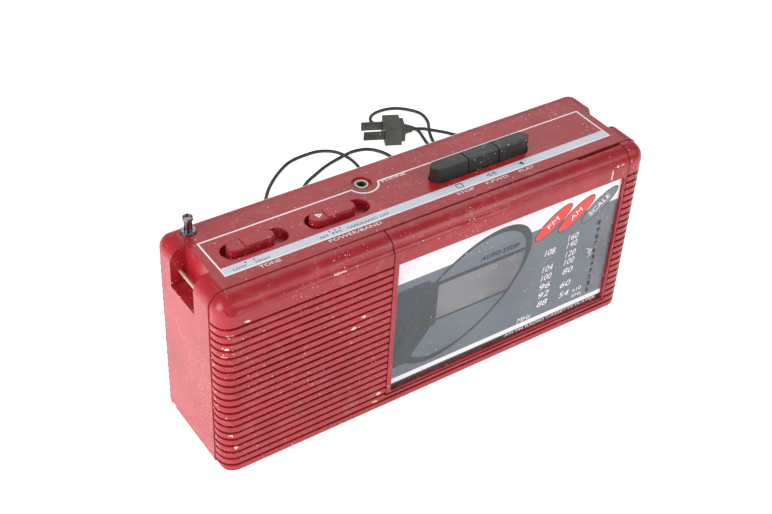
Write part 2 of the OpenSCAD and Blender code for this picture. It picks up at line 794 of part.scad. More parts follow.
module tape_head() {
    color(steel) {
        translate([cassette_x - 6, plate_y - 11, capstan_z + 7]) cube([12, 11, 8.5]);
        // Round pole face that touches the tape
        translate([cassette_x, plate_y - 5.5, capstan_z + 7]) rotate([90, 0, 0]) cylinder(r = 5, h = 4.4);
        // Erase head
        translate([cassette_x - 24, plate_y - 9, capstan_z + 8]) cube([7, 9, 6.5]);
    }
}

module flywheel() {
    color(steel) translate([capstan_x, 0, capstan_z]) rotate([90, 0, 0]) {
        translate([0, 0, 5]) difference() {
            cylinder(r = flywheel_r, h = 6.8);
            translate([0, 0, 4.6]) difference() {
                cylinder(r = flywheel_r + 1, h = 2);
                translate([0, 0, -1]) cylinder(r = flywheel_r - 1, h = 4);
            }
        }
        translate([0, 0, 11.7]) cylinder(r = 5, h = 1.6);
        translate([0, 0, 4.9]) cylinder(r = 1, h = 23.6);
    }
}

// Belt between the flywheel's groove and the motor pulley
belt_w = 1.4;
groove_in = flywheel_r - 1;
belt_dist = capstan_z - motor_z;
belt_ang = asin((groove_in - pulley_r) / belt_dist);
belt_t = 0.9;
function arc(r, a0, a1, n) = [for (i = [0 : n]) let (a = a0 + (a1 - a0) * i / n) r * [cos(a), sin(a)]];
module belt_outline(g) {
    upper = arc(groove_in + g, -belt_ang, 180 + belt_ang, 24);
    lower = arc(pulley_r + g, 180 + belt_ang, 360 - belt_ang, 12);
    polygon(concat(upper, [for (p = lower) p - [0, belt_dist]]));
}

module drive_belt() {
    color(black) translate([capstan_x, belt_y + belt_w / 2, capstan_z]) rotate([90, 0, 0])
        linear_extrude(belt_w) difference() {
            belt_outline(0.15 + belt_t);
            belt_outline(0.15);
        }
}

module motor() {
    color(steel) translate([motor_x, motor_y0, motor_z]) rotate([-90, 0, 0]) difference() {
        union() {
            cylinder(r = motor_r, h = motor_l);
            translate([0, 0, motor_l - eps]) cylinder(r = 4, h = 2);
        }
        translate([0, 0, -1]) cylinder(r = 1 + fit, h = 8);
    }
}

module motor_pulley() {
    color(brass) translate([motor_x, 0, motor_z]) rotate([90, 0, 0]) {
        translate([0, 0, -motor_y0 - 6]) cylinder(r = 1, h = 8);
        translate([0, 0, 8.8]) cylinder(r = pulley_r + 1, h = 1);
        translate([0, 0, 9.7]) cylinder(r = pulley_r, h = 1.9);
        translate([0, 0, 11.5]) cylinder(r = pulley_r + 1, h = 1);
        translate([0, 0, -motor_y0 + 1]) cylinder(r = 2, h = 4);
    }
}

// Friction drive from the flywheel's hub to the take-up spindle
takeup_r = 10;
hub_gap = norm([spindle_l - capstan_x, capstan_z - z_lo - hub_z]);
idler_r = (hub_gap - 5 - takeup_r) / 2 - 0.1;
idler_f = (5 + idler_r + 0.1) / hub_gap;
idler_x = capstan_x + (spindle_l - capstan_x) * idler_f;
idler_z = capstan_z + (z_lo + hub_z - capstan_z) * idler_f;
module idler_wheel() {
    color(black) translate([idler_x, wheel_front, idler_z]) rotate([90, 0, 0]) difference() {
        cylinder(r = idler_r, h = wheel_t);
        translate([0, 0, -1]) cylinder(r = 1 + fit, h = 4);
    }
}

module spindle(x, r) {
    translate([x, 0, z_lo + hub_z]) rotate([90, 0, 0]) {
        translate([0, 0, -wheel_front]) cylinder(r = r, h = wheel_t);
        translate([0, 0, -wheel_front]) cylinder(r = 1.5, h = 14);
        translate([0, 0, 16.8]) cylinder(r = 6, h = 3);
        translate([0, 0, 19.7]) cylinder(r = 3, h = 8);
        translate([0, 0, 27.7]) cylinder(r1 = 3, r2 = 1.4, h = 2);
        for (a = [0, 60, 120]) translate([0, 0, 22.5]) rotate([0, 0, a]) cube([9, 1.2, 5], center = true);
    }
}

module takeup_spindle() {
    color([0.85, 0.85, 0.82]) spindle(spindle_l, takeup_r);
}

module supply_spindle() {
    color([0.85, 0.85, 0.82]) spindle(spindle_r, 7);
}

// Keys: a cap with a slanted front, chamfered at the outer ends, on a steel lever
function key_mid(i) = key_x0 + (i + 0.5) * key_pitch;
key_gap = 0.7;
module key_cap(i) {
    intersection() {
        translate([0, 0, z_in - 4]) linear_extrude(key_h + wall + 4) key_row_outline(0);
        along_x(key_x0 + i * key_pitch + (i > 0 ? key_gap / 2 : -key_over - 1),
            key_x0 + (i + 1) * key_pitch - (i < 2 ? key_gap / 2 : -key_over - 1))
            polygon([[key_y0, z_in - 4], [key_y1, z_in - 4], [key_y1, z_top + key_h - 0.6],
                [key_y1 - 0.6, z_top + key_h], [key_y0 + 1.9, z_top + key_h],
                [key_y0 + 1.3, z_top + key_h - 0.6], [key_y0, z_top - 1]]);
    }
}

module key_lever(i, foot) {
    translate([key_mid(i) - lever_w / 2, lever_y, foot]) cube([lever_w, lever_t, z_in - 2 - foot]);
}

lever_foot = z_lo + 92;
module stop_key() {
    color(black) key_cap(0);
    color(steel) key_lever(0, lever_foot);
}

module ffwd_key() {
    color(black) key_cap(1);
    color(steel) key_lever(1, lever_foot);
}

module play_key() {
    color(black) key_cap(2);
    color(steel) {
        key_lever(2, lever_foot);
        translate([key_mid(2) - 3, plate_y - 0.4, ear_z + gap])
            cube([6, lever_y + 0.5 - plate_y + 0.4, 1.2]);
    }
}

// Lower guide of the levers, with their return leaf
module key_levers_guide() {
    color(steel) difference() {
        union() {
            translate([16, chassis_y + chassis_t + 0.02, z_lo + 84]) cube([62, lever_y + 4 - chassis_y - chassis_t, 1.2]);
            translate([16, lever_y + 2.8, z_lo + 84]) cube([62, 1.2, 9]);
        }
        translate([12, chassis_y, z_lo + 80]) cube([5, 4, 9]);
    }
}

// Slide knobs with a finger step at the left, on a stem that moves the switch
stem_z = z_top - 22;
module slide_knob(x) {
    translate([x, knob_y, z_top - well_d + gap]) linear_extrude(well_d - gap + knob_h - 0.8)
        stadium(knob_l, knob_w);
    translate([x, knob_y, z_top + knob_h - 0.8]) intersection() {
        linear_extrude(0.8) stadium(knob_l - 1, knob_w - 1);
        translate([-knob_l / 2 + 9, -knob_w, 0]) cube([knob_l, 2 * knob_w, 2]);
    }
    translate([x, knob_y, z_top + knob_h - 0.82]) linear_extrude(0.3) stadium(knob_l - 1, knob_w - 1);
    translate([x - stem_l / 2, knob_y - stem_w / 2, stem_z])
        cube([stem_l, stem_w, z_top - well_d + 1 - stem_z]);
}

tone_rest = tone_x - tone_travel / 2;
band_rest = band_x - band_travel / 2;
module tone_knob() {
    color(red) slide_knob(tone_rest);
}

module band_knob() {
    color(red) slide_knob(band_rest);
}

switch_z = z_top - 26;
switch_h = 9;
module slide_switch(x, l, travel) {
    translate([x, knob_y, switch_z]) difference() {
        translate([-l / 2, -4.5, 0]) cube([l, 9, switch_h]);
        translate([-(stem_l + travel) / 2 - gap, -stem_w / 2 - gap, 3])
            cube([stem_l + travel + 2 * gap, stem_w + 2 * gap, 10]);
    }
}

module tone_switch() {
    color(steel) slide_switch(tone_x, 18, tone_travel);
}

module band_switch() {
    color(steel) slide_switch(band_x, 30, band_travel);
}

module switch_board() {
    color([0.55, 0.45, 0.25]) difference() {
        union() {
            translate([tone_x - 15, -9, switch_z - board_t]) cube([77, 32, board_t]);
            translate([tone_x + 60, 5, switch_z - board_t]) cube([24, 18, board_t]);
        }
        for (x = switch_posts) translate([x, switch_post_y, switch_z - 5]) cylinder(r = 1.2, h = 8);
    }
}

// Earphone socket and its ring nut
nut_r = 3.75;
barrel_r = 2.9;
module phone_jack() {
    color(black) difference() {
        union() {
            translate([jack_x - 5.5, jack_y - 5, switch_z]) cube([11, 10, z_in - 1.6 - switch_z]);
            translate([jack_x, jack_y, z_in - 2]) cylinder(r = barrel_r, h = wall + 1.2);
        }
        translate([jack_x, jack_y, switch_z + 8]) cylinder(r = jack_r, h = 40);
    }
}

module jack_nut() {
    color([0.9, 0.9, 0.86]) translate([jack_x, jack_y, z_in - 1.55]) difference() {
        cylinder(r = nut_r, h = wall + 1);
        translate([0, 0, -1]) cylinder(r = barrel_r + 0.02, h = 8);
    }
}

// Telescopic aerial
ferrule_h = 1.2;
tube_z0 = z_lo + 15;
section_1_r = 2.25;
section_2_r = 1.7;
rod_r = 1.2;
rod_top = z_top + 9.3;
module tube(r, bore, z0, z1) {
    translate([aerial_x, aerial_y, z0]) difference() {
        cylinder(r = r, h = z1 - z0);
        translate([0, 0, 2]) cylinder(r = bore, h = z1);
    }
}

module aerial_ferrule() {
    color(steel) translate([aerial_x, aerial_y, z_top]) difference() {
        union() {
            cylinder(r = 4.3, h = ferrule_h * 0.6);
            translate([0, 0, ferrule_h * 0.6]) cylinder(r1 = 4.3, r2 = 3.6, h = ferrule_h * 0.4);
        }
        translate([0, 0, -1]) cylinder(r = section_1_r + aerial_fit, h = 5);
    }
}

module aerial_base_tube() {
    color(steel) tube(aerial_r, section_1_r + aerial_fit, tube_z0, z_top - 0.02);
}

module aerial_section_1() {
    color(steel) tube(section_1_r, section_2_r + aerial_fit, tube_z0 + 2.4, rod_top - 2.6);
}

module aerial_section_2() {
    color(steel) tube(section_2_r, rod_r + aerial_fit, tube_z0 + 4.8, rod_top - 2.8);
}

module aerial_rod() {
    color(steel) translate([aerial_x, aerial_y, 0]) {
        translate([0, 0, tube_z0 + 7.2]) cylinder(r = rod_r, h = rod_top - 2 - tube_z0 - 7.2);
        translate([0, 0, rod_top - 2.3]) difference() {
            union() {
                cylinder(r1 = 2.5, r2 = 2.8, h = 0.6);
                translate([0, 0, 0.6]) cylinder(r = 2.8, h = 1.7);
            }
            translate([0, 0, 1.3]) cylinder(r = 2.2, h = 2);
        }
    }
}

// Strap bars
module strap_bar(s) {
    translate([s * bar_x, notch_y + notch_l + 1.5, bar_z]) rotate([90, 0, 0])
        cylinder(r = bar_r, h = notch_l + 3);
}

module left_strap_bar() {
    color(brass) strap_bar(-1);
}

module right_strap_bar() {
    color(brass) strap_bar(1);
}

// Radio: thumb wheels, gang capacitor, volume control, pointer and board
board_y = 8.4;
board_t = 1.6;
module thumb_wheel(x, z, r, t) {
    translate([x, tuning_y0 + t, z]) rotate([90, 0, 0]) difference() {
        cylinder(r = r, h = t);
        translate([0, 0, -1]) cylinder(r = 3 + 0.02, h = t - 1);
        for (a = [0 : 12 : 359]) rotate([0, 0, a]) translate([r + 0.5, 0, -1]) cylinder(r = 0.9, h = t + 2);
    }
}

module tuning_wheel() {
    color(black) thumb_wheel(tuning_x, tuning_z, tuning_r, tuning_t);
    color(steel) translate([tuning_x, tuning_y0 + tuning_t + 6, tuning_z]) rotate([90, 0, 0])
        cylinder(r = 3, h = 9);
}

module tuning_gang() {
    color([0.8, 0.8, 0.74]) difference() {
        translate([tuning_x - 9, tuning_y0 + tuning_t + 1, tuning_z - 9])
            cube([18, board_y - tuning_y0 - tuning_t - 1.02, 18]);
        translate([tuning_x, tuning_y0 + tuning_t + 8, tuning_z]) rotate([90, 0, 0])
            cylinder(r = 3 + fit, h = 12);
    }
}

module volume_wheel() {
    color(black) thumb_wheel(volume_x, volume_z, volume_r, volume_t);
    color(steel) translate([volume_x, tuning_y0 + volume_t + 6, volume_z]) rotate([90, 0, 0])
        cylinder(r = 3, h = 9);
}

module volume_pot() {
    color(steel) difference() {
        translate([volume_x, board_y - 0.02, volume_z]) rotate([90, 0, 0])
            cylinder(r = 6.8, h = board_y - 1.04 - tuning_y0 - volume_t);
        translate([volume_x, tuning_y0 + volume_t + 8, volume_z]) rotate([90, 0, 0])
            cylinder(r = 3 + fit, h = 12);
    }
}

module dial_pointer() {
    color([0.85, 0.2, 0.15]) {
        translate([pointer_x - 2.8, seat_y + door_wall + 1, pointer_z - 0.4]) cube([5.6, 0.8, 0.8]);
        translate([pointer_x - 0.5, seat_y + door_wall + 1.6, pointer_z - 0.4])
            cube([1, cover_y + cover_t + 2.2 - seat_y - door_wall - 1.6, 0.8]);
        translate([pointer_x - 2.6, cover_y + cover_t / 2 + 2.3, pointer_z - 1.2]) cube([5.2, 1.2, 2.4]);
    }
}

board_x0 = 8;
board_x1 = 134;
board_z0 = z_lo + 46;
board_z1 = z_lo + 90;
module main_board() {
    color([0.55, 0.45, 0.25]) difference() {
        union() {
            translate([board_x0, board_y, board_z0]) cube([board_x1 - board_x0, board_t, board_z1 - board_z0]);
            translate([tuning_x - 12, board_y, tuning_z - 12]) cube([24, board_t, board_z0 - tuning_z + 13]);
        }
        translate([post_x, 0, post_z[1]]) rotate([-90, 0, 0]) cylinder(r = post_r + 0.4, h = 20);
        for (p = board_posts) translate([p[0], board_y - 1, p[1]]) rotate([-90, 0, 0])
            cylinder(r = 1.2, h = 4);
        translate([post_x - 1, board_y - 1, post_z[1] - post_r - 0.4]) cube([20, 4, 2 * post_r + 0.8]);
    }
}

module board_parts() {
    color([0.75, 0.75, 0.78]) for (p = [[20, 60], [34, 60], [48, 60], [62, 60]])
        translate([p[0], board_y - 10.02, z_lo + p[1]]) cube([8, 10, 8]);
    color([0.15, 0.2, 0.4]) for (p = [[26, 77, 4], [38, 77, 4], [54, 77, 5], [72, 77, 5]])
        translate([p[0], board_y - 0.02, z_lo + p[1]]) rotate([90, 0, 0]) cylinder(r = p[2], h = 8);
    color(black) translate([84, board_y - 4.02, z_lo + 62]) cube([20, 4, 7]);
}

module ferrite_rod() {
    color([0.25, 0.24, 0.24]) translate([18, ferrite_y, ferrite_z]) rotate([0, 90, 0])
        cylinder(r = ferrite_r, h = 84);
}

module ferrite_coil() {
    color(brass) translate([46, ferrite_y, ferrite_z]) rotate([0, 90, 0]) difference() {
        cylinder(r = ferrite_r + 0.8, h = 24);
        translate([0, 0, -1]) cylinder(r = ferrite_r + 0.02, h = 30);
    }
}

// Loudspeaker behind the grille
basket_y = y_front + wall + 0.02;
module turned(y) {
    translate([speaker_x, y, speaker_z]) rotate([-90, 0, 0]) rotate_extrude() children();
}

module speaker_basket() {
    color(steel) turned(basket_y)
        polygon([[33.5, 0], [speaker_r, 0], [speaker_r, 1.2], [34.5, 1.2], [17, 17], [17, 18.2],
            [10, 18.2], [10, 17], [15.5, 17], [33.5, 0.9]]);
}

module speaker_cone() {
    color([0.2, 0.19, 0.18]) turned(basket_y)
        polygon([[0, 12.5], [7, 12.5], [8, 13], [32.6, 0.3], [33.48, 0.3], [33.48, 0.8], [32.8, 0.9],
            [8.4, 13.8], [8.4, 17], [7.8, 17], [7.8, 13.9], [6.6, 13.3], [0, 13.3]]);
}

module speaker_magnet() {
    color([0.3, 0.3, 0.32]) turned(basket_y + 18.22)
        polygon([[0, 0], [22, 0], [22, 9], [20, 11], [0, 11]]);
}

transformer_x = -80;
module transformer() {
    color([0.45, 0.42, 0.4]) {
        translate([transformer_x, 9, case_z0 + case_h + wall + 0.05]) cube([34, 14, 30]);
        translate([transformer_x + 6, 6, case_z0 + case_h + wall + 5]) cube([22, 20, 20]);
    }
}

// Mains lead: relief, lead-in, two-layer coil with its tie, loops and plug
module cord_relief() {
    color(black) translate([relief_x, y_back, relief_z]) rotate([-90, 0, 0]) {
        translate([0, 0, -wall - 1.2]) cylinder(r = relief_r, h = 1.18);
        translate([0, 0, -wall - 0.1]) cylinder(r = relief_neck, h = wall + 0.2);
        cylinder(r = relief_r, h = 1.4);
        translate([0, 0, 1.4]) cylinder(r1 = 3.2, r2 = 1.7, h = relief_l - 1.4);
    }
}

lead_z = cord_r + 0.2;
lead_in_points = [[115, 57, 18], [115, 63, 18], [115, 70, 16.8], [115, 77.5, 11.8], [114, 85.5, 6],
    [111, 94, 2.6], [104, 101, 1.6], [94, 104, 1.6], [84, 104.3, 1.8], [78.4, 104.3, 1.8]];
loop_points = [[73.6, 104.3, 4.8], [69, 104.3, 4.8], [61, 105.5, 4], [54, 111, 2.4], [51, 120, 1.5],
    [55, 131, 1.5], [64, 141, 1.5], [72, 152, 1.5], [76, 165, 2.4], [75, 176, 4.2], [71, 187, 4.6],
    [63, 196, 3], [52, 199, 1.6], [38, 197, 1.5], [24, 189, 1.5], [11, 178, 1.5], [1, 166, 1.5],
    [-10, 150, 1.5], [-18, 134, 1.5], [-14, 120, 1.5], [0, 116, 1.5], [10, 128, 1.5],
    [18, 148, 1.5], [32, 167, 1.5], [48, 176, 1.5], [60, 181, 1.5], [72, 184, 1.5], [84, 186, 1.5],
    [95, 183, 1.5], [102, 174, 1.5], [106, 160, 1.5], [115, 149, 1.5], [127, 148, 1.5],
    [134, 158, 1.5], [137, 172, 1.5], [140, 186, 1.5], [135, 196, 1.5], [126, 201, 1.5],
    [119, 206, 1.5], [117, 213, 1.5], [122, 219, 1.5], [131, 221, 1.5], [141, 219, 1.5], [149, 213, 1.5], [155, 203, 1.5],
    [153, 191, 1.5], [146, 179, 1.5], [141, 166, 1.5], [141, 153, 1.5], [150, 145, 1.5],
    [160, 150, 1.5], [163, 161, 1.6], [156, 170, 2.8], [147, 175.2, 5], [139.2, 178.7, 7],
    [132, 182, 7.2]];

function spline(p, t) =
    let (n = len(p) - 1, i = min(n - 1, floor(t)), u = t - i,
        a = p[max(0, i - 1)], b = p[i], c = p[i + 1], d = p[min(n, i + 2)])
    0.5 * (2 * b + (c - a) * u + (2 * a - 5 * b + 4 * c - d) * u * u
        + (3 * b - a - 3 * c + d) * u * u * u);
function unit(v) = v / norm(v);
function ring(c, dir, r, sides) =
    let (side = unit(cross(dir, [0, 0, 1])), up = cross(side, dir))
    [for (k = [0 : sides - 1])
        c + r * (cos(360 * k / sides) * side + sin(360 * k / sides) * up)];

// A tube of rings round a list of centres, with one heading for each
module swept(centres, headings, r, sides) {
    n = len(centres);
    pts = [for (i = [0 : n - 1]) each ring(centres[i], headings[i], r, sides)];
    sides_faces = [for (i = [0 : n - 2], k = [0 : sides - 1])
        let (a = i * sides + k, b = i * sides + (k + 1) % sides)
        each [[a, a + sides, b + sides], [a, b + sides, b]]];
    caps = [for (k = [1 : sides - 2]) each [[0, k, k + 1],
        [(n - 1) * sides, (n - 1) * sides + k + 1, (n - 1) * sides + k]]];
    polyhedron(points = pts, faces = concat(sides_faces, caps));
}

module route_tube(p, rings) {
    n = len(p) - 1;
    ts = [for (i = [0 : rings]) n * i / rings];
    centres = [for (t = ts) spline(p, t)];
    headings = [for (i = [0 : rings])
        i == 0 ? unit(p[1] - p[0]) : i == rings ? unit(p[n] - p[n - 1])
        : unit(centres[i + 1] - centres[i - 1])];
    swept(centres, headings, cord_r, 8);
}

module cord_lead_in() {
    color(black) route_tube(lead_in_points, 18);
}

module cord_loops() {
    color(black) route_tube(loop_points, 106);
}

// The coil spirals in on the floor layer, climbs at its middle and spirals out on top
coil_x = 76;
coil_step = 2 * cord_r + 0.5;
coil_low = 1.8;
coil_high = coil_low + 2 * cord_r + 0.6;
coil_out = 19;
coil_y = 104.3 - coil_out;
coil_rings = 24;
coil_total = coil_turns * 2;
coil_dip = 1;
function climb(t) = min(1, max(0, (t - coil_total / 2 + 0.25) / 0.5));
function coil_radius(t) =
    let (half = coil_total / 2, in = half - abs(t - half))
    coil_out - coil_step * min(in, half - 0.25) - coil_dip * pow(sin(180 * climb(t)), 2);
function coil_height(t) =
    let (u = climb(t))
    coil_low + (coil_high - coil_low) * u * u * (3 - 2 * u);
function coil_point(t) =
    let (a = 90 + 360 * t)
    [coil_x + coil_radius(t) * cos(a), coil_y + coil_radius(t) * sin(a), coil_height(t)];
coil_n = ceil(coil_total * coil_rings);
coil_path = [for (i = [0 : coil_n]) coil_point(coil_total * i / coil_n)];
coil_first = coil_path[0] + [2 * cord_r, 0, 0];
coil_last = coil_path[coil_n] + [-2 * cord_r, 0, 0];
coil_centres = concat([coil_first], coil_path, [coil_last]);
coil_gap = min([for (i = [0 : 3 : len(coil_centres) - 1], j = [i + coil_rings / 2 : len(coil_centres) - 1])
    norm(coil_centres[i] - coil_centres[j])]) - 2 * cord_r;
echo(str("least gap of the coil to itself: ", coil_gap));

module cord_coil() {
    n = len(coil_centres);
    headings = [for (i = [0 : n - 1])
        unit(coil_centres[min(n - 1, i + 1)] - coil_centres[max(0, i - 1)])];
    color(black) swept(coil_centres, headings, cord_r, 6);
}

module cord_tie() {
    inner = coil_out - coil_step * (coil_turns - 0.5) - cord_r - 1;
    outer = coil_out + cord_r + 0.6;
    hi = coil_high + cord_r + 0.2;
    color(black) translate([coil_x, coil_y, 0]) rotate([0, 0, -120]) rotate([90, 0, 0])
        linear_extrude(3, center = true) difference() {
            translate([inner - 0.5, 0]) square([outer - inner + 1, hi + 0.5]);
            translate([inner, 0.5]) square([outer - inner, hi - 0.5]);
        }
}

plug_at = [132, 182, 7.2];
plug_turn = atan2(3.3, -7.2);
module mains_plug() {
    color(black) translate(plug_at) rotate([0, 0, plug_turn]) rotate([0, 90, 0]) {
        cylinder(r1 = 2.2, r2 = 3.6, h = 6);
        translate([0, 0, 5.9]) linear_extrude(3) square([11, 14], center = true);
        translate([0, 0, 8.8]) linear_extrude(12) square([14, 19], center = true);
    }
}

module plug_blades() {
    color(brass) translate(plug_at) rotate([0, 0, plug_turn])
        for (s = [-1, 1]) translate([20.8, s * 6.35 - 0.75, -3.2]) cube([15.5, 1.5, 6.4]);
}

front_shell();
rear_shell();
cassette_door();
dial_window();
dial_plate();
deck_cover();
stop_key();
ffwd_key();
play_key();
key_levers_guide();
tone_knob();
band_knob();
tone_switch();
band_switch();
switch_board();
phone_jack();
jack_nut();
aerial_ferrule();
aerial_base_tube();
aerial_section_1();
aerial_section_2();
aerial_rod();
left_strap_bar();
right_strap_bar();
deck_chassis();
head_plate();
tape_head();
pinch_roller();
flywheel();
drive_belt();
motor();
motor_pulley();
idler_wheel();
takeup_spindle();
supply_spindle();
tuning_wheel();
tuning_gang();
dial_pointer();
volume_wheel();
volume_pot();
main_board();
board_parts();
ferrite_rod();
ferrite_coil();
speaker_basket();
speaker_cone();
speaker_magnet();
transformer();
battery_door();
battery_springs();
battery_contacts();
case_screws();
small_screws();
cord_relief();
cord_lead_in();
cord_coil();
cord_tie();
cord_loops();
mains_plug();
plug_blades();
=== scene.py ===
"""Looks of a radio cassette player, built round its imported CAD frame.

Everything lies in the CAD's own frame: +X to the right of the front, -Y out of the front, +Z up. Sizes are
written in millimetres, and MM turns them into metres.
"""

import json
import logging
import math
from dataclasses import dataclass
from enum import Enum
from typing import Optional, Sequence

import bpy
from mathutils import Matrix, Vector

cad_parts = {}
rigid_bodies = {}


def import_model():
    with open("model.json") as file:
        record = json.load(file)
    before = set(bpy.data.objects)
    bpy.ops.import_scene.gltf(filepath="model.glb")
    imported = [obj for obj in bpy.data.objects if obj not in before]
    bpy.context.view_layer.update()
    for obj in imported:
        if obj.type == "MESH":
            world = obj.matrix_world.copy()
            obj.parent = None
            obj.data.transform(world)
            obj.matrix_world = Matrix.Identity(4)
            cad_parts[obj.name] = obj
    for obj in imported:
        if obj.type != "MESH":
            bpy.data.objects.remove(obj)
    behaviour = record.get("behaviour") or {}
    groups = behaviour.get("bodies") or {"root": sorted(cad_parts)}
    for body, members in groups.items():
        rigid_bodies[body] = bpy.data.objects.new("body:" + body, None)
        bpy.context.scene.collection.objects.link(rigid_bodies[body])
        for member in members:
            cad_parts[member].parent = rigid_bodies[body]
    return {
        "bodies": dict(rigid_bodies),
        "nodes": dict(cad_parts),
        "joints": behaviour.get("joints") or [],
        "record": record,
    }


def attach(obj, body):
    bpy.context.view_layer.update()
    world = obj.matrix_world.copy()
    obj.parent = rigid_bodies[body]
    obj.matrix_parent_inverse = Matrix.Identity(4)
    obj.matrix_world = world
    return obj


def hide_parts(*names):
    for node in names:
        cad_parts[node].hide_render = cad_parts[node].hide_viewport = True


MM = 0.001
LOG = logging.getLogger("scene")
Colour = tuple[float, float, float]
Triple = tuple[float, float, float]
Limits = tuple[float, float, float, float]

SCREEN_TOP = 255
SCREEN_DARK = 10
TRIANGLE = 3


def tone(red: float, green: float, blue: float) -> Colour:
    """Turns a screen colour from 0 to 255 into the linear one that shaders use."""
    return tuple(
        level / SCREEN_TOP / 12.92 if level < SCREEN_DARK else ((level / SCREEN_TOP + 0.055) / 1.055) ** 2.4
        for level in (red, green, blue)
    )


# Shader maths


class Value:
    """A shader socket that adds and multiplies, so that a formula reads as one."""

    def __init__(self, graph: "Graph", socket: bpy.types.NodeSocket) -> None:
        """Wraps the socket of a node in the graph."""
        self.graph = graph
        self.socket = socket

    def _maths(self, kind: str, first: object, second: object = 0.0) -> "Value":
        """Adds one Math node of the kind."""
        node = self.graph.add("Math", {"operation": kind})
        self.graph.feed(node.inputs[0], first)
        self.graph.feed(node.inputs[1], second)
        return Value(self.graph, node.outputs[0])

    def __add__(self, other: object) -> "Value":
        """The sum of two values."""
        return self._maths("ADD", self, other)

    def __radd__(self, other: object) -> "Value":
        """The sum of a number and a value."""
        return self._maths("ADD", other, self)

    def __sub__(self, other: object) -> "Value":
        """The difference of two values."""
        return self._maths("SUBTRACT", self, other)

    def __rsub__(self, other: object) -> "Value":
        """A number less a value."""
        return self._maths("SUBTRACT", other, self)

    def __mul__(self, other: object) -> "Value":
        """The product of two values."""
        return self._maths("MULTIPLY", self, other)

    __rmul__ = __mul__

    def __gt__(self, other: object) -> "Value":
        """1 where the value is above the other, and 0 elsewhere."""
        return self._maths("GREATER_THAN", self, other)

    def sine(self) -> "Value":
        """The sine of the value, taken as an angle in radians."""
        return self._maths("SINE", self)

    def near(self) -> "Value":
        """How far the value is from nothing, either way."""
        return self._maths("ABSOLUTE", self)

    def held(self, low: float = 0.0, high: float = 1.0) -> "Value":
        """Keeps the value between low and high."""
        return self._maths("MINIMUM", self._maths("MAXIMUM", self, low), high)

    def step(self, start: float, end: float) -> "Value":
        """Rises smoothly from 0 at start to 1 at end.

        Args:
            start: the value below which the result is 0.
            end: the value above which it is 1.

        Returns:
            The eased value.
        """
        node = self.graph.add("MapRange", {"interpolation_type": "SMOOTHSTEP"})
        for socket, value in zip(node.inputs, (self, start, end, 0.0, 1.0)):
            self.graph.feed(socket, value)
        return Value(self.graph, node.outputs[0])


class Graph:
    """The nodes of one material."""

    BLOT_RAGGED = 2.4
    BLOT_SOFT = 0.12

    def __init__(self, name: str) -> None:
        """Starts an empty material that reads object coordinates."""
        self.material = bpy.data.materials.new(name)
        self.material.use_nodes = True
        self.tree = self.material.node_tree
        self.tree.nodes.clear()
        self.coords = self.add("TexCoord").outputs["Object"]

    def feed(self, socket: bpy.types.NodeSocket, value: object) -> None:
        """Links a value into a socket, or sets the socket to a plain number or colour."""
        if isinstance(value, Value):
            self.tree.links.new(value.socket, socket)
        elif isinstance(value, bpy.types.NodeSocket):
            self.tree.links.new(value, socket)
        elif isinstance(value, tuple) and socket.type == "RGBA":
            socket.default_value = (*value, 1.0)
        else:
            socket.default_value = value

    def add(self, kind: str, settings: Optional[dict] = None, **inputs: object) -> bpy.types.Node:
        """Adds a node.

        Args:
            kind: the node's kind, without the word that all shader nodes start with.
            settings: values for the node itself.
            **inputs: values for its sockets, with an underscore for each space.

        Returns:
            The new node.
        """
        node = self.tree.nodes.new("ShaderNode" + kind)
        for key, value in (settings or {}).items():
            setattr(node, key, value)
        for key, value in inputs.items():
            self.feed(node.inputs[key.replace("_", " ")], value)
        return node

    def axis(self, index: int) -> Value:
        """One coordinate of the point, in metres."""
        return Value(self, self.add("SeparateXYZ", Vector=self.coords).outputs[index])

    def place(self, stretch: Triple, seed: float) -> bpy.types.NodeSocket:
        """The object coordinates, stretched and moved, for a pattern to be laid along."""
        node = self.add("Mapping", Vector=self.coords)
        node.inputs["Scale"].default_value = stretch
        node.inputs["Location"].default_value = (seed, seed * 1.7, -seed)
        return node.outputs[0]

    def noise(
        self, scale: float, detail: float = 3.0, stretch: Triple = (1, 1, 1), seed: float = 0.0
    ) -> Value:
        """Smooth noise about 0.5, with that many waves in a metre."""
        node = self.add("TexNoise", Vector=self.place(stretch, seed), Scale=scale, Detail=detail)
        return Value(self, node.outputs[0])

    def cells(self, scale: float, seed: float = 0.0) -> tuple[Value, Value]:
        """Scattered points: the distance from the nearest one in cells, and a number of its own for each."""
        node = self.add("TexVoronoi", Vector=self.place((1, 1, 1), seed), Scale=scale)
        shade = self.add("SeparateColor", Color=node.outputs["Color"])
        return Value(self, node.outputs["Distance"]), Value(self, shade.outputs[0])

    def blot(self, at: Triple, reach: Triple, ragged: Value) -> Value:
        """Gives 1 inside a ragged blot and 0 outside it.

        Args:
            at: its middle, in millimetres.
            reach: its half sizes, in millimetres.
            ragged: noise about 0.5 that breaks its edge.

        Returns:
            The mask.
        """
        moved = self.add("VectorMath", {"operation": "SUBTRACT"})
        self.feed(moved.inputs[0], self.coords)
        moved.inputs[1].default_value = Vector(at) * MM
        shrunk = self.add("VectorMath", {"operation": "DIVIDE"})
        self.feed(shrunk.inputs[0], moved.outputs[0])
        shrunk.inputs[1].default_value = Vector(reach) * MM
        length = self.add("VectorMath", {"operation": "LENGTH"})
        self.feed(length.inputs[0], shrunk.outputs[0])
        inside = 1.0 - Value(self, length.outputs["Value"]) + (ragged - 0.5) * self.BLOT_RAGGED
        return inside.step(0.0, self.BLOT_SOFT)

    def mix(self, share: object, first: object, second: object) -> bpy.types.NodeSocket:
        """A colour between two."""
        node = self.add("Mix", {"data_type": "RGBA"})
        for index, value in ((0, share), (6, first), (7, second)):
            self.feed(node.inputs[index], value)
        return node.outputs[2]


# Finishes


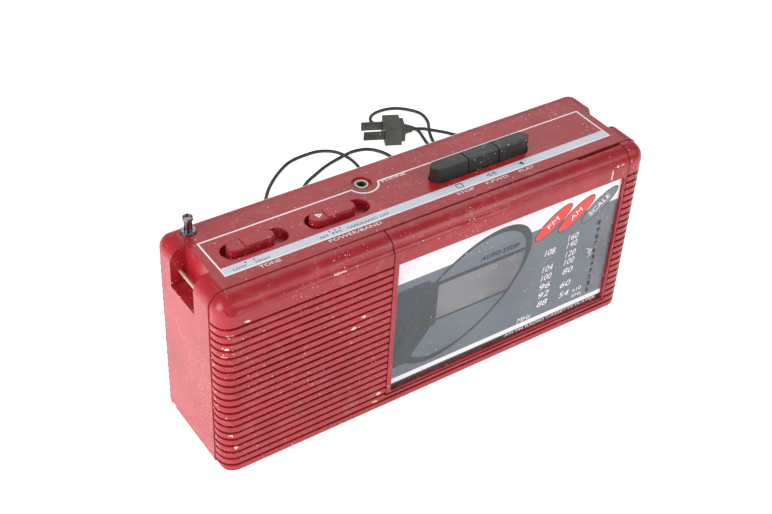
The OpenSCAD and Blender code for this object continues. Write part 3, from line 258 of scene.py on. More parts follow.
class Make(Enum):
    """The make of a surface, below its dirt and wear."""

    MOULDED = "moulded"
    BRUSHED = "brushed"
    WOUND = "wound"
    FIBROUS = "fibrous"


@dataclass(frozen=True)
class Specks:
    """Pale specks of one size, each in a cell of its own.

    Attributes:
        cells: how many cells there are in a metre.
        seed: what sets these cells apart from others.
        size: radius of the largest speck, in cells.
        soft: width of its soft edge, in cells.
        share: how many cells hold a speck on the dustiest finish.
    """

    cells: float
    seed: float
    size: float
    soft: float
    share: float

    def over(self, graph: Graph, crowd: Value, amount: float) -> Value:
        """Lays the specks over a surface.

        Args:
            graph: the nodes of its material.
            crowd: how thickly the specks lie at each place.
            amount: how dusty the whole surface is, from 0 to 1.

        Returns:
            The mask of the specks.
        """
        far, own = graph.cells(self.cells, self.seed)
        return (own * self.size - far).step(0.0, self.soft) * (own * crowd > 1.0 - self.share * amount)


@dataclass(frozen=True)
class Chip:
    """A place where the surface is knocked white.

    Attributes:
        at: its middle, in millimetres.
        reach: its half sizes, in millimetres.
    """

    at: Triple
    reach: Triple


@dataclass(frozen=True)
class Finish:
    """How one kind of surface looks.

    Attributes:
        colour: the main colour.
        shade: the colour in its slow patches.
        roughness: the middle roughness.
        uneven: how much the roughness wanders.
        metallic: 1 for bare metal.
        coat: a clear gloss over it.
        specular: how strongly it mirrors, with 0.5 for common plastic.
        grain: waves in a metre of the fine bump.
        bump: height of the fine bump, in millimetres.
        specks: how thickly pale dust lies, from 0 to 1.
        dust: colour of the dust.
        scuffs: how many scratches there are, from 0 to 1.
        edge: radius that edges look rounded to, in millimetres.
        alpha: how solid it is.
        make: what it is made like.
        chips: the larger places of wear.
    """

    colour: Colour
    shade: Colour
    roughness: float = 0.4
    uneven: float = 0.12
    metallic: float = 0.0
    coat: float = 0.0
    specular: float = 0.5
    grain: float = 1400
    bump: float = 0.01
    specks: float = 0.3
    dust: Colour = tone(226, 212, 204)
    scuffs: float = 0.3
    edge: float = 0.25
    alpha: float = 1.0
    make: Make = Make.MOULDED
    chips: tuple[Chip, ...] = ()

    WIRE_PITCH = 0.0004
    LARGE = Specks(420, 7, 0.19, 0.03, 0.5)
    FINE = Specks(900, 11, 0.24, 0.05, 0.42)
    FINE_SHARE = 0.8
    HAZE = 0.16
    SCRATCHED = 0.45
    DARKER = 0.55
    DOTS_HIGH = 0.03
    SCRATCHES_DEEP = 0.01
    BUMP_STRENGTH = 0.6
    COAT_ROUGHNESS = 0.12
    DIRT_COVERS = 0.9
    DIRT_ROUGHENS = 0.3
    DIRT_HIDES = 0.6

    def _relief(self, graph: Graph) -> Value:
        """Height of the surface's own make, from 0 to 1."""
        if self.make is Make.BRUSHED:
            return graph.noise(900, 2, (1, 1, 0.04), 3)
        if self.make is Make.WOUND:
            return ((graph.axis(0) + graph.axis(2)) * (2 * math.pi / self.WIRE_PITCH)).sine() * 0.5 + 0.5
        if self.make is Make.FIBROUS:
            return graph.noise(2600, 6, (1, 1, 1), 5)
        return graph.noise(self.grain, 2, (1, 1, 1), 1)

    def _dots(self, graph: Graph) -> Value:
        """Pale specks of two sizes, thicker in some places than in others."""
        crowd = graph.noise(30, 2, seed=29).step(0.3, 0.7) * 0.5 + 0.6
        large, fine = (specks.over(graph, crowd, self.specks) for specks in (self.LARGE, self.FINE))
        return (large + fine * self.FINE_SHARE).held()

    def _scratches(self, graph: Graph) -> Value:
        """Thin scratches in two directions, in a few patches."""
        along = (graph.noise(70, 1, (1, 0.06, 0.5), 13) - 0.5).near()
        across = (graph.noise(90, 1, (0.05, 0.7, 1), 17) - 0.5).near()
        patch = graph.noise(45, 2, seed=19).step(0.62 - 0.1 * self.scuffs, 0.74)
        lines = ((1.0 - along.step(0.0, 0.006)) + (1.0 - across.step(0.0, 0.005))).held()
        return lines * patch * self.scuffs

    def _dirt(self, graph: Graph, dots: Value, scratches: Value) -> Value:
        """Everything pale on the surface.

        Args:
            graph: the material's nodes.
            dots: the mask of the specks.
            scratches: the mask of the scratches.

        Returns:
            The mask of both, a thin haze and the chips.
        """
        haze = graph.noise(120, 5, seed=23).step(0.5, 0.8) * (self.HAZE * self.specks)
        dirt = (dots + haze + scratches * self.SCRATCHED).held()
        if not self.chips:
            return dirt
        ragged = graph.noise(650, 3, seed=31)
        for chip in self.chips:
            dirt = dirt + graph.blot(chip.at, chip.reach, ragged)
        return dirt.held()

    def build(self, name: str) -> bpy.types.Material:
        """Makes the material.

        Args:
            name: the material's name.

        Returns:
            A material whose colour, roughness and bump all vary over the object.
        """
        graph = Graph(name)
        slow = graph.noise(26, 4, seed=2)
        relief, dots, scratches = self._relief(graph), self._dots(graph), self._scratches(graph)
        dirt = self._dirt(graph, dots, scratches)
        base = graph.mix(slow.step(0.35, 0.7), self.colour, self.shade)
        if self.make in (Make.WOUND, Make.FIBROUS):
            base = graph.mix(relief * 0.5, base, tuple(c * self.DARKER for c in self.colour))
        wander = (slow - 0.5) * self.uneven + (relief - 0.5) * (self.uneven * 0.5)
        rounded = graph.add("Bevel", {"samples": 4}, Radius=self.edge * MM)
        height = relief * self.bump + dots * self.DOTS_HIGH - scratches * self.SCRATCHES_DEEP
        bump = graph.add(
            "Bump", Strength=self.BUMP_STRENGTH, Distance=MM, Height=height, Normal=rounded.outputs[0],
        )
        shader = graph.add(
            "BsdfPrincipled", Base_Color=graph.mix(dirt * self.DIRT_COVERS, base, self.dust),
            Roughness=(self.roughness + wander + dirt * self.DIRT_ROUGHENS).held(0.03, 1.0),
            Metallic=self.metallic, Specular_IOR_Level=self.specular, Coat_Roughness=self.COAT_ROUGHNESS,
            Normal=bump.outputs[0],
        )
        if self.coat:
            graph.feed(shader.inputs["Coat Weight"], ((1.0 - dirt) * self.coat).held())
        if self.alpha < 1:
            graph.feed(shader.inputs["Alpha"], (dirt * self.DIRT_HIDES + self.alpha).held())
        graph.feed(graph.add("OutputMaterial").inputs[0], shader.outputs[0])
        return graph.material


CABINET_CHIPS = (
    Chip((-132.8, -33, 96.6), (3.4, 3, 1.1)), Chip((-134.3, -32, 88.2), (1.8, 3, 1.2)),
    Chip((-135.4, -31, 82.8), (1.4, 3, 0.9)), Chip((-123.6, -35, 103.1), (1.5, 1.5, 0.8)),
    Chip((-55, -35, 75), (1.8, 1.5, 1)), Chip((-60.9, -35, 69.5), (1.8, 1.5, 0.9)),
    Chip((-42.7, -35, 12.5), (1.5, 2, 1.1)), Chip((-44.3, -34, 7.1), (1.8, 2, 1)),
    Chip((-46.5, -33, 3.6), (2.2, 2, 0.9)), Chip((-134, -32, 27.7), (1.6, 3, 0.8)),
    Chip((-131.6, -33, 18.4), (1.1, 3, 0.9)), Chip((-139, 22.5, 4.5), (1.2, 1.6, 1.2)),
    Chip((-70, -34.6, 110.4), (5, 1.2, 0.5)), Chip((112, -34.8, 106), (0.7, 1.6, 3.8)),
    Chip((118, -33.4, 110.8), (5, 1.8, 0.6)),
)
RED = Finish(
    tone(172, 32, 44), tone(158, 27, 39), 0.3, 0.14, specular=0.36, coat=0.12, specks=0.5,
    dust=tone(244, 208, 196), scuffs=0.5, edge=0.7, chips=CABINET_CHIPS,
)
FINISHES = {
    "red_plastic": RED,
    "clear_plastic": Finish(
        tone(96, 101, 104), tone(86, 90, 94), 0.08, 0.06, specular=0.22, bump=0.001, specks=0.4, scuffs=0.6,
        dust=tone(236, 238, 240), edge=0.1, alpha=0.015,
    ),
    "printed_plate": Finish(
        tone(114, 122, 130), tone(104, 113, 122), 0.2, 0.1, specular=0.35, bump=0.002, specks=0.3, edge=0.1,
    ),
    "black_plastic": Finish(
        tone(48, 51, 49), tone(38, 40, 39), 0.38, 0.16, specular=0.4, specks=0.3, scuffs=0.3, edge=0.5,
    ),
    "red_marker": Finish(tone(214, 44, 38), tone(196, 38, 34), 0.35),
    "white_plastic": Finish(tone(222, 219, 208), tone(206, 202, 190), 0.4, 0.15),
    "chrome_metal": Finish(tone(150, 146, 154), tone(104, 100, 106), 0.14, 0.16, 1.0, bump=0.002, specks=0.2),
    "steel_sheet": Finish(
        tone(178, 180, 184), tone(150, 152, 158), 0.34, 0.2, 1.0, bump=0.004, make=Make.BRUSHED,
    ),
    "brass_metal": Finish(tone(216, 204, 168), tone(190, 172, 130), 0.36, 0.2, 0.6, bump=0.003),
    "black_rubber": Finish(
        tone(44, 49, 43), tone(33, 37, 32), 0.48, 0.14, grain=2600, bump=0.02, specks=0.2,
        dust=tone(150, 156, 146),
    ),
    "circuit_board": Finish(tone(150, 112, 60), tone(132, 98, 52), 0.5, 0.2, make=Make.FIBROUS),
    "dark_ferrite": Finish(tone(74, 74, 77), tone(60, 60, 62), 0.55, 0.2, grain=3000, bump=0.02),
    "copper_winding": Finish(
        tone(188, 110, 60), tone(150, 84, 44), 0.35, 0.2, 1.0, bump=0.03, make=Make.WOUND,
    ),
    "paper_cone": Finish(tone(52, 48, 45), tone(42, 39, 37), 0.8, 0.1, bump=0.03, make=Make.FIBROUS),
}
NODE_FINISHES = {
    "plug_blades": Finish(tone(92, 94, 88), tone(62, 64, 60), 0.42, 0.2, 0.8, bump=0.004),
    "mains_plug": Finish(
        tone(64, 70, 60), tone(48, 53, 46), 0.5, 0.14, grain=2600, bump=0.02, dust=tone(150, 156, 146),
        edge=0.8,
    ),
}


class Ink(Enum):
    """The inks and films on the printed places."""

    WHITE = "white"
    LAVENDER = "lavender"
    CHARCOAL = "charcoal"
    BLACK = "black"
    SLATE = "slate"
    SIGNAL = "signal"
    FILM = "film"
    SMOKE = "smoke"


def _ink(
    colour: Colour, shade: Colour, alpha: float = 1.0, dust: Colour = tone(214, 206, 204)
) -> Finish:
    """The finish of one ink."""
    return Finish(
        colour, shade, 0.2, 0.1, specular=0.35, bump=0.002, specks=0.25, dust=dust, edge=0.02, alpha=alpha,
    )


INKS = {
    Ink.WHITE: _ink(tone(252, 246, 250), tone(240, 234, 240), dust=tone(196, 170, 168)),
    Ink.LAVENDER: _ink(tone(214, 219, 232), tone(204, 210, 226), dust=tone(244, 240, 242)),
    Ink.CHARCOAL: _ink(tone(70, 74, 76), tone(63, 68, 70)),
    Ink.BLACK: _ink(tone(48, 50, 54), tone(38, 40, 44)),
    Ink.SLATE: _ink(tone(120, 128, 136), tone(110, 119, 128)),
    Ink.SIGNAL: _ink(tone(240, 70, 62), tone(232, 60, 54)),
    Ink.FILM: _ink(tone(150, 150, 153), tone(124, 120, 125), alpha=0.8),
    Ink.SMOKE: _ink(tone(132, 132, 136), tone(116, 114, 120), alpha=0.85),
}


# Thin printed pieces


@dataclass(frozen=True)
class Face:
    """A flat place that is printed on.

    Attributes:
        origin: a point on it, in millimetres.
        right: the way that lettering runs.
        up: the way that it stands.
    """

    origin: Triple
    right: Triple
    up: Triple

    def matrix(self, lift: float) -> Matrix:
        """Where a flat drawing in millimetres goes, that far off the face, as a matrix to metres."""
        right, up = Vector(self.right), Vector(self.up)
        out = right.cross(up)
        turned = Matrix((right, up, out)).transposed().to_4x4()
        return Matrix.Scale(MM, 4) @ Matrix.Translation(Vector(self.origin) + out * lift) @ turned


@dataclass(frozen=True)
class Word:
    """Lettering that fills a width.

    Attributes:
        text: what it says.
        left: its left end.
        right: its right end.
        foot: the height of its foot.
        high: its height.
        turn: degrees that it is turned to the left about the middle of its foot.
        slant: how far it leans.
        bold: how much thicker its strokes are.
    """

    text: str
    left: float
    right: float
    foot: float
    high: float
    turn: float = 0.0
    slant: float = 0.0
    bold: float = 0.0


class Print:
    """All the thin shapes of one ink on one body: drawn flat, joined, thickened and laid on a face."""

    LAYER = 0.03
    RING_SIDES = 128
    LETTER_STEPS = 3

    def __init__(self, name: str, body: str, face: Face, ink: Ink, layer: int = 0) -> None:
        """Starts an empty print that lies so many layers up."""
        self.name = name
        self.body = body
        self.face = face
        self.ink = ink
        self.layer = layer
        self.shapes: list[bpy.types.Object] = []

    def _edit(self, wide: float, high: float, turn: float, u: float, v: float) -> None:
        """Scales, turns and moves the new primitive in edit mode."""
        bpy.ops.object.mode_set(mode="EDIT")
        bpy.ops.mesh.select_all(action="SELECT")
        bpy.ops.transform.resize(value=(wide, high, 1))
        bpy.ops.transform.rotate(value=-math.radians(turn), orient_axis="Z", center_override=(0, 0, 0))
        bpy.ops.transform.translate(value=(u, v, 0))

    def close(self, line: float = 0.0) -> None:
        """Ends the edit of a shape, hollowed to a line of that width if it has one."""
        if line:
            bpy.ops.mesh.inset(thickness=line, use_boundary=True)
            bpy.ops.mesh.delete(type="FACE")
        bpy.ops.object.mode_set(mode="OBJECT")
        self.shapes.append(bpy.context.object)

    def bar(self, u0: float, u1: float, v0: float, v1: float, line: float = 0.0) -> None:
        """Adds a rectangle, or its outline.

        Args:
            u0: its left side.
            u1: its right side.
            v0: its foot.
            v1: its top.
            line: the width of the outline, or 0 for a full shape.
        """
        bpy.ops.mesh.primitive_plane_add(size=1)
        self._edit(u1 - u0, v1 - v0, 0, (u0 + u1) / 2, (v0 + v1) / 2)
        self.close(line)

    def disc(
        self, u: float, v: float, wide: float, high: float, turn: float = 0.0, line: float = 0.0,
        sides: int = 96, within: Optional[Limits] = None,
    ) -> None:
        """Adds an ellipse, or a shape with fewer sides.

        Args:
            u: its middle along the face.
            v: its middle up the face.
            wide: its half width before it is turned.
            high: its half height before it is turned.
            turn: degrees that it is turned to the left.
            line: the width of its outline, or 0 for a full shape.
            sides: how many sides it has.
            within: the left, right, low and high limits that it is cut to.
        """
        bpy.ops.mesh.primitive_circle_add(vertices=sides, radius=1, fill_type="NGON")
        self._edit(wide, high, turn, u, v)
        if within:
            left, right, low, top = within
            cuts = (
                ((left, 0, 0), (-1, 0, 0)), ((right, 0, 0), (1, 0, 0)),
                ((0, low, 0), (0, -1, 0)), ((0, top, 0), (0, 1, 0)),
            )
            for at, way in cuts:
                bpy.ops.mesh.select_all(action="SELECT")
                bpy.ops.mesh.bisect(plane_co=at, plane_no=way, clear_outer=True)
            bpy.ops.mesh.select_all(action="SELECT")
        self.close(line)

    def ring(
        self, u: float, v: float, outer: tuple[float, float], inner: tuple[float, float], turn: float
    ) -> None:
        """Adds a ring between two ellipses with one middle.

        Args:
            u: its middle along the face.
            v: its middle up the face.
            outer: the half width and half height outside.
            inner: the half width and half height inside.
            turn: degrees that it is turned to the left.
        """
        bpy.ops.mesh.primitive_circle_add(vertices=self.RING_SIDES, radius=1, fill_type="NOTHING")
        bpy.ops.object.mode_set(mode="EDIT")
        bpy.ops.mesh.select_all(action="SELECT")
        bpy.ops.transform.resize(value=(*outer, 1))
        bpy.ops.mesh.extrude_edges_move()
        bpy.ops.transform.resize(value=(inner[0] / outer[0], inner[1] / outer[1], 1))
        bpy.ops.mesh.select_all(action="SELECT")
        bpy.ops.transform.rotate(value=-math.radians(turn), orient_axis="Z", center_override=(0, 0, 0))
        bpy.ops.transform.translate(value=(u, v, 0))
        bpy.ops.mesh.normals_make_consistent(inside=False)
        self.close()

    def word(self, word: Word) -> None:
        """Adds lettering."""
        bpy.ops.object.text_add()
        text = bpy.context.object.data
        text.body, text.shear, text.offset = word.text, word.slant, word.bold
        text.resolution_u = self.LETTER_STEPS
        bpy.ops.object.convert(target="MESH")
        made = bpy.context.object
        corners = [Vector(corner) for corner in made.bound_box]
        low, size = corners[0], corners[6] - corners[0]
        middle = (word.left + word.right) / 2
        grown = Matrix.Diagonal(((word.right - word.left) / size.x, word.high / size.y, 1, 1))
        centred = grown @ Matrix.Translation(-low - Vector((size.x / 2, 0, 0)))
        turned = Matrix.Rotation(math.radians(word.turn), 4, "Z")
        made.data.transform(Matrix.Translation((middle, word.foot, 0)) @ turned @ centred)
        self.shapes.append(made)

    def words(self, *words: Word) -> None:
        """Adds several pieces of lettering."""
        for word in words:
            self.word(word)

    def lay(self, kit: "Kit") -> bpy.types.Object:
        """Joins the shapes, thickens them and lays them on their face and body.


        Returns:
            The finished piece.
        """
        deselect()
        for shape in self.shapes:
            shape.select_set(True)
        made = self.shapes[0]
        bpy.context.view_layer.objects.active = made
        if len(self.shapes) > 1:
            bpy.ops.object.join()
        thick = made.modifiers.new("thickness", "SOLIDIFY")
        thick.thickness = self.LAYER
        thick.offset = 1
        bpy.ops.object.modifier_apply(modifier=thick.name)
        made.data.transform(self.face.matrix(self.layer * self.LAYER))
        return kit.keep(made, self.name, self.body, kit.ink(self.ink))


def deselect() -> None:
    """Leaves nothing selected, so that an operator acts only on what is picked next."""
    bpy.ops.object.select_all(action="DESELECT")



class Kit:
    """Hands out materials and puts finished pieces on their bodies."""

    def __init__(self, frame: dict) -> None:
        """Makes the materials of all the slots."""
        self.frame = frame
        self.inks: dict[Ink, bpy.types.Material] = {}
        self.slots = {name: finish.build(name + "_look") for name, finish in FINISHES.items()}

    def ink(self, ink: Ink) -> bpy.types.Material:
        """The material of one printing ink."""
        if ink not in self.inks:
            self.inks[ink] = INKS[ink].build(ink.value + "_ink")
        return self.inks[ink]

    def dress(self) -> None:
        """Gives every CAD node the material of its slot, or its own."""
        own = {name: finish.build(name + "_look") for name, finish in NODE_FINISHES.items()}
        for name, node in self.frame["nodes"].items():
            for slot in node.material_slots:
                slot.material = own.get(name) or self.slots[slot.material.name.split(".")[0]]
            LOG.info("dressed %s", name)

    def keep(
        self, made: bpy.types.Object, name: str, body: str, material: bpy.types.Material
    ) -> bpy.types.Object:
        """Names a finished piece, dresses it and puts it on its body.

        Args:
            made: the piece, in metres, with its place in its data.
            name: its name.
            body: what it moves with.
            material: its material.

        Returns:
            The piece.
        """
        made.name = made.data.name = name
        made.data.materials.clear()
        made.data.materials.append(material)
        LOG.info("made %s", name)
        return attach(made, body)


# Printed places


@dataclass(frozen=True)
class TopPrint:
    """The outline, stripe and lettering on the cabinet's top.

    Attributes:
        top: height of the cabinet's top.
        left: left side of the outline.
        right: right side of the outline.
        front: front side of the outline.
        back: back side of the outline.
        line: width of the outline.
        socket: middle of the headphone socket, which the outline goes round.
        clear: how far the outline stays from that middle.
    """

    top: float = 118
    left: float = -125
    right: float = 124.7
    front: float = -15.9
    back: float = 14.1
    line: float = 0.95
    socket: tuple[float, float] = (-24.4, 15.8)
    clear: float = 8.2

    BAY_SIDES = 96
    WORDS = (
        Word("TONE", -106.8, -94.6, -19, 2.3, bold=0.012),
        Word("POWER/BAND", -66.4, -34.6, -19, 2.3, bold=0.012),
        Word("PHONE", -14.3, 1, 11.2, 1.9),
        Word("STOP", 14, 25.5, -18.8, 2),
        Word("F.FWD", 33.8, 48.6, -18.8, 2),
        Word("PLAY", 56.4, 66.8, -18.8, 2),
    )
    STRIPE = (-124.1, 123.8, -14.95, -9.5)
    STRIPE_WORDS = (
        Word("LOW", -119, -111.4, -14.2, 1.8),
        Word("HIGH", -106.4, -98.6, -14.2, 1.8),
        Word("AM", -69.4, -64.4, -14.2, 1.8),
        Word("FM", -61.6, -56.6, -14.2, 1.8),
        Word("TAPE/RADIO OFF", -53, -27, -14.2, 1.8),
    )
    STOP_MARK = (17.7, 21.8, -14.1, -10.3)
    STOP_LINE = 0.5
    WIND_MARKS = (39.7, 43)
    WIND_SIZE = (1.9, 1.9)
    WIND_LINE = 0.42
    PLAY_MARK = 62.2
    PLAY_SIZE = (2, 2)
    KEY_MARKS_AT = -12.2
    POINTS = (-111, -106.2, -62.3, -59, -56)
    POINT_SIZE = (0.9, 0.75)
    POINTS_AT = -10.9

    @property
    def face(self) -> Face:
        """The cabinet's top as a face."""
        return Face((0, 0, self.top), (1, 0, 0), (0, 1, 0))

    def _outline(self, sheet: Print) -> None:
        """A rectangle with a bay round the socket, hollowed to a line."""
        bpy.ops.mesh.primitive_cylinder_add(
            vertices=self.BAY_SIDES, radius=self.clear, depth=4, location=(*self.socket, 0),
        )
        bay = bpy.context.object
        bpy.ops.mesh.primitive_plane_add(size=1)
        slab = bpy.context.object
        bpy.ops.object.mode_set(mode="EDIT")
        bpy.ops.mesh.select_all(action="SELECT")
        bpy.ops.transform.resize(value=(self.right - self.left, self.back - self.front, 1))
        bpy.ops.transform.translate(value=((self.left + self.right) / 2, (self.front + self.back) / 2, 0))
        bpy.ops.mesh.extrude_region_move(TRANSFORM_OT_translate={"value": (0, 0, -1)})
        bpy.ops.mesh.select_all(action="SELECT")
        bpy.ops.mesh.normals_make_consistent(inside=False)
        bpy.ops.object.mode_set(mode="OBJECT")
        cut = slab.modifiers.new("bay", "BOOLEAN")
        cut.operation, cut.object, cut.solver = "DIFFERENCE", bay, "EXACT"
        bpy.ops.object.modifier_apply(modifier=cut.name)
        bpy.data.objects.remove(bay)
        bpy.context.tool_settings.mesh_select_mode = (False, False, True)
        for face in slab.data.polygons:
            on_top = face.normal.z > 0.9 and face.center.z > -0.5
            face.select = not on_top
        bpy.ops.object.mode_set(mode="EDIT")
        bpy.ops.mesh.delete(type="FACE")
        bpy.ops.mesh.select_all(action="SELECT")
        bpy.ops.mesh.dissolve_limited(angle_limit=0.001)
        bpy.ops.mesh.select_all(action="SELECT")
        sheet.close(self.line)

    def build(self, kit: Kit) -> None:
        """Makes all the top's print."""
        white = Print("top_print_white", "cabinet", self.face, Ink.WHITE)
        self._outline(white)
        white.words(*self.WORDS)
        white.lay(kit)
        stripe = Print("top_print_stripe", "cabinet", self.face, Ink.LAVENDER)
        stripe.bar(*self.STRIPE)
        stripe.lay(kit)
        dark = Print("top_print_marks", "cabinet", self.face, Ink.CHARCOAL, 1)
        dark.bar(*self.STOP_MARK, line=self.STOP_LINE)
        for u in self.WIND_MARKS:
            dark.disc(u, self.KEY_MARKS_AT, *self.WIND_SIZE, turn=90, line=self.WIND_LINE, sides=TRIANGLE)
        dark.disc(self.PLAY_MARK, self.KEY_MARKS_AT, *self.PLAY_SIZE, turn=90, sides=TRIANGLE)
        for u in self.POINTS:
            dark.disc(u, self.POINTS_AT, *self.POINT_SIZE, turn=180, sides=TRIANGLE)
        dark.words(*self.STRIPE_WORDS)
        dark.lay(kit)


@dataclass(frozen=True)
class KnobMarks:
    """The arrow on the tone knob and the worn mark on the band knob.

    Attributes:
        step: height of the low steps of the knobs.
        tone_at: middle of the arrow.
        arrow: half sizes of the arrow.
        band_at: middle of the worn mark.
        mark: half sizes of the worn mark.
        line: width of the worn mark's line.
    """

    step: float = 120.78
    tone_at: tuple[float, float] = (-109.4, 0.8)
    arrow: tuple[float, float] = (1.1, 0.8)
    band_at: tuple[float, float] = (-61.7, 0.2)
    mark: tuple[float, float] = (2.5, 2.0)
    line: float = 0.7

    def build(self, kit: Kit) -> None:
        """Makes both marks."""
        face = Face((0, 0, self.step), (1, 0, 0), (0, 1, 0))
        arrow = Print("tone_knob_arrow", "tone_knob", face, Ink.BLACK)
        arrow.disc(*self.tone_at, *self.arrow, turn=180, sides=TRIANGLE)
        arrow.lay(kit)
        worn = Print("band_knob_mark", "band_knob", face, Ink.WHITE)
        worn.disc(*self.band_at, *self.mark, turn=160, line=self.line, sides=TRIANGLE)
        worn.lay(kit)


@dataclass(frozen=True)
class DialPrint:
    """The dial panel behind the clear window.

    Attributes:
        front: where the plate's front lies.
        window_front: where the clear window's front lies.
        left: left side of the plate's print.
        right: right side of the plate's print.
        ring_at: middle of the slanting ring.
        ring: half width and half height of the ring outside.
        hole: half width and half height of the ring inside.
        tilt: degrees that the ring is turned.
        badge_at: height of the badges' middles.
        badge: half width and half height of a badge, without its rim.
        badge_turn: degrees that the badges are turned.
        rim: width of their rims.
    """

    front: float = -32.95
    window_front: float = -34.75
    left: float = -33.6
    right: float = 122.4
    ring_at: tuple[float, float] = (15, 58.4)
    ring: tuple[float, float] = (51, 28.8)
    hole: tuple[float, float] = (46, 27.2)
    tilt: float = 37
    badge_at: float = 86
    badge: tuple[float, float] = (14.4, 4.5)
    badge_turn: float = 35
    rim: tuple[float, float] = (0.8, 0.7)

    COVER_LAYER, FILM_LAYER, BAR_LAYER, RING_LAYER, BADGE_LAYER, LETTER_LAYER = -3, -2, 1, 2, 3, 4
    WIDE_BAND = (85.2, 100.9)
    LOW_BAND = (13.5, 17)
    WINDOW = (-5, 57, 49.5, 73.8)
    WINDOW_CORNER = (42, 52.5, 49, 63)
    SCALE_WINDOW = (112.4, 119.6, 18.9, 73.1)
    FM_MARKS = (("108", 62.4), ("104", 50.3), ("100", 43.7), ("96", 37), ("92", 30.5), ("88", 23.8))
    AM_MARKS = (
        ("160", 67.2), ("140", 61.8), ("120", 54.8), ("100", 49), ("80", 42), ("60", 31.6), ("54", 23.6),
    )
    MARK_HIGH = 4.4
    SLANT = 0.2
    FM_COLUMN = (70.7, 78.6)
    AM_COLUMN = (87.3, 95.2)
    WORDS = (
        Word("MHz", 56.5, 67, 17.9, 3.6, slant=0.2),
        Word("x10", 98, 105, 24, 3),
        Word("kHz", 98.5, 106, 19.6, 3),
        Word("AM FM RADIO CASSETTE PLAYER", 48, 119, 11, 2.1, bold=0.02),
    )
    AUTO_STOP = Word("AUTO STOP", 23, 50, 78.6, 2.7, slant=0.25, bold=0.01)
    BADGES = (("FM", 73.7, Ink.SIGNAL, 8.4), ("AM", 90.7, Ink.SIGNAL, 8.8), ("SCALE", 108, Ink.SLATE, 16.5))
    BADGE_WORD = (0.8, -1.5, 3.6)
    DIGITS = 11
    DIGIT_HIGH = 3.1
    DIGIT_COLUMN = (109.4, 111.6)
    DIGIT_FOOT = 19.4
    DIGIT_PITCH = 5.1
    BEYOND = (-40, 70, 110)
    UPPER_BAR = 2.5
    LOWER_BAR = 1.4
    FILL_FOOT = 45.8
    FOOT_BAND = 10.7
    CURL = (104.9, 54.2, (1.7, 1.2), (1.3, 0.7), 50)
    STROKES = ((103.2, 56.6, 1.6, 0.22, -40), (105.6, 51.2, 1.9, 0.25, 25))

    @property
    def face(self) -> Face:
        """The plate's front as a face."""
        return Face((0, self.front, 0), (1, 0, 0), (0, 0, 1))

    def _print(self, name: str, ink: Ink, layer: int = 0) -> Print:
        """Starts a print on the plate."""
        return Print("dial_" + name, "cassette_door", self.face, ink, layer)

    def _ring(self, kit: Kit) -> None:
        """The slanting ring, the bars that cross it and the dark place beside the tape window."""
        ring = self._print("ring", Ink.CHARCOAL, self.RING_LAYER)
        ring.ring(*self.ring_at, self.ring, self.hole, self.tilt)
        ring.lay(kit)
        dark = self._print("ring_bars", Ink.CHARCOAL, self.BAR_LAYER)
        middle = tuple((a + b) / 2 for a, b in zip(self.ring, self.hole))
        left, _, low, high = self.WINDOW
        start, end, top = self.BEYOND
        parts = (
            (start, left, self.FILL_FOOT, high), (left - 4, end, high, high + self.UPPER_BAR),
            (left, end, low - self.LOWER_BAR, low),
        )
        for within in parts:
            dark.disc(*self.ring_at, *middle, turn=self.tilt, within=within)
        dark.bar(self.left, self.right, self.FOOT_BAND, self.LOW_BAND[0])
        dark.lay(kit)
        field = self._print("ring_field", Ink.SLATE, self.BAR_LAYER)
        field.disc(*self.ring_at, *middle, turn=self.tilt, within=(start, end, self.WIDE_BAND[0] - 0.1, top))
        field.lay(kit)
        film = self._print("window_films", Ink.FILM, self.FILM_LAYER)
        film.disc(*self.ring_at, *middle, turn=self.tilt, within=self.WINDOW)
        film.lay(kit)
        cover = self._print("window_corner", Ink.SLATE, self.COVER_LAYER)
        cover.bar(*self.WINDOW_CORNER)
        cover.lay(kit)
        smoke = self._print("scale_film", Ink.SMOKE, self.FILM_LAYER)
        smoke.bar(*self.SCALE_WINDOW)
        smoke.lay(kit)

    def _badges(self, kit: Kit, letters: Print) -> None:
        """The three slanting badges at the top, with their rims and words."""
        rims = self._print("badge_rims", Ink.CHARCOAL, self.RING_LAYER)
        outer = tuple(a + b for a, b in zip(self.badge, self.rim))
        right, down, high = self.BADGE_WORD
        for text, u, ink, wide in self.BADGES:
            rims.disc(u, self.badge_at, *outer, turn=self.badge_turn)
            badge = self._print("badge_" + text.lower(), ink, self.BADGE_LAYER)
            badge.disc(u, self.badge_at, *self.badge, turn=self.badge_turn)
            badge.lay(kit)
            middle, foot = u + right, self.badge_at + down
            letters.word(Word(text, middle - wide / 2, middle + wide / 2, foot, high, turn=self.badge_turn))
        rims.lay(kit)

    def build(self, kit: Kit) -> None:
        """Makes all the panel's print."""
        white = self._print("white_bands", Ink.WHITE)
        white.bar(self.left, self.right, *self.WIDE_BAND)
        white.bar(self.left, self.right, *self.LOW_BAND)
        white.lay(kit)
        self._ring(kit)
        letters = self._print("lettering", Ink.WHITE, self.LETTER_LAYER)
        self._badges(kit, letters)
        for text, foot in self.FM_MARKS:
            letters.word(Word(text, *self.FM_COLUMN, foot, self.MARK_HIGH, slant=self.SLANT))
        for text, foot in self.AM_MARKS:
            letters.word(Word(text, *self.AM_COLUMN, foot, self.MARK_HIGH, slant=self.SLANT))
        letters.words(*self.WORDS)
        letters.lay(kit)
        dark = self._print("dark_lettering", Ink.BLACK, self.LETTER_LAYER)
        dark.word(self.AUTO_STOP)
        for i in range(self.DIGITS):
            foot = self.DIGIT_FOOT + i * self.DIGIT_PITCH
            dark.word(Word(str(i), *self.DIGIT_COLUMN, foot, self.DIGIT_HIGH, bold=0.03))
        dark.lay(kit)
        self._scuff(kit)

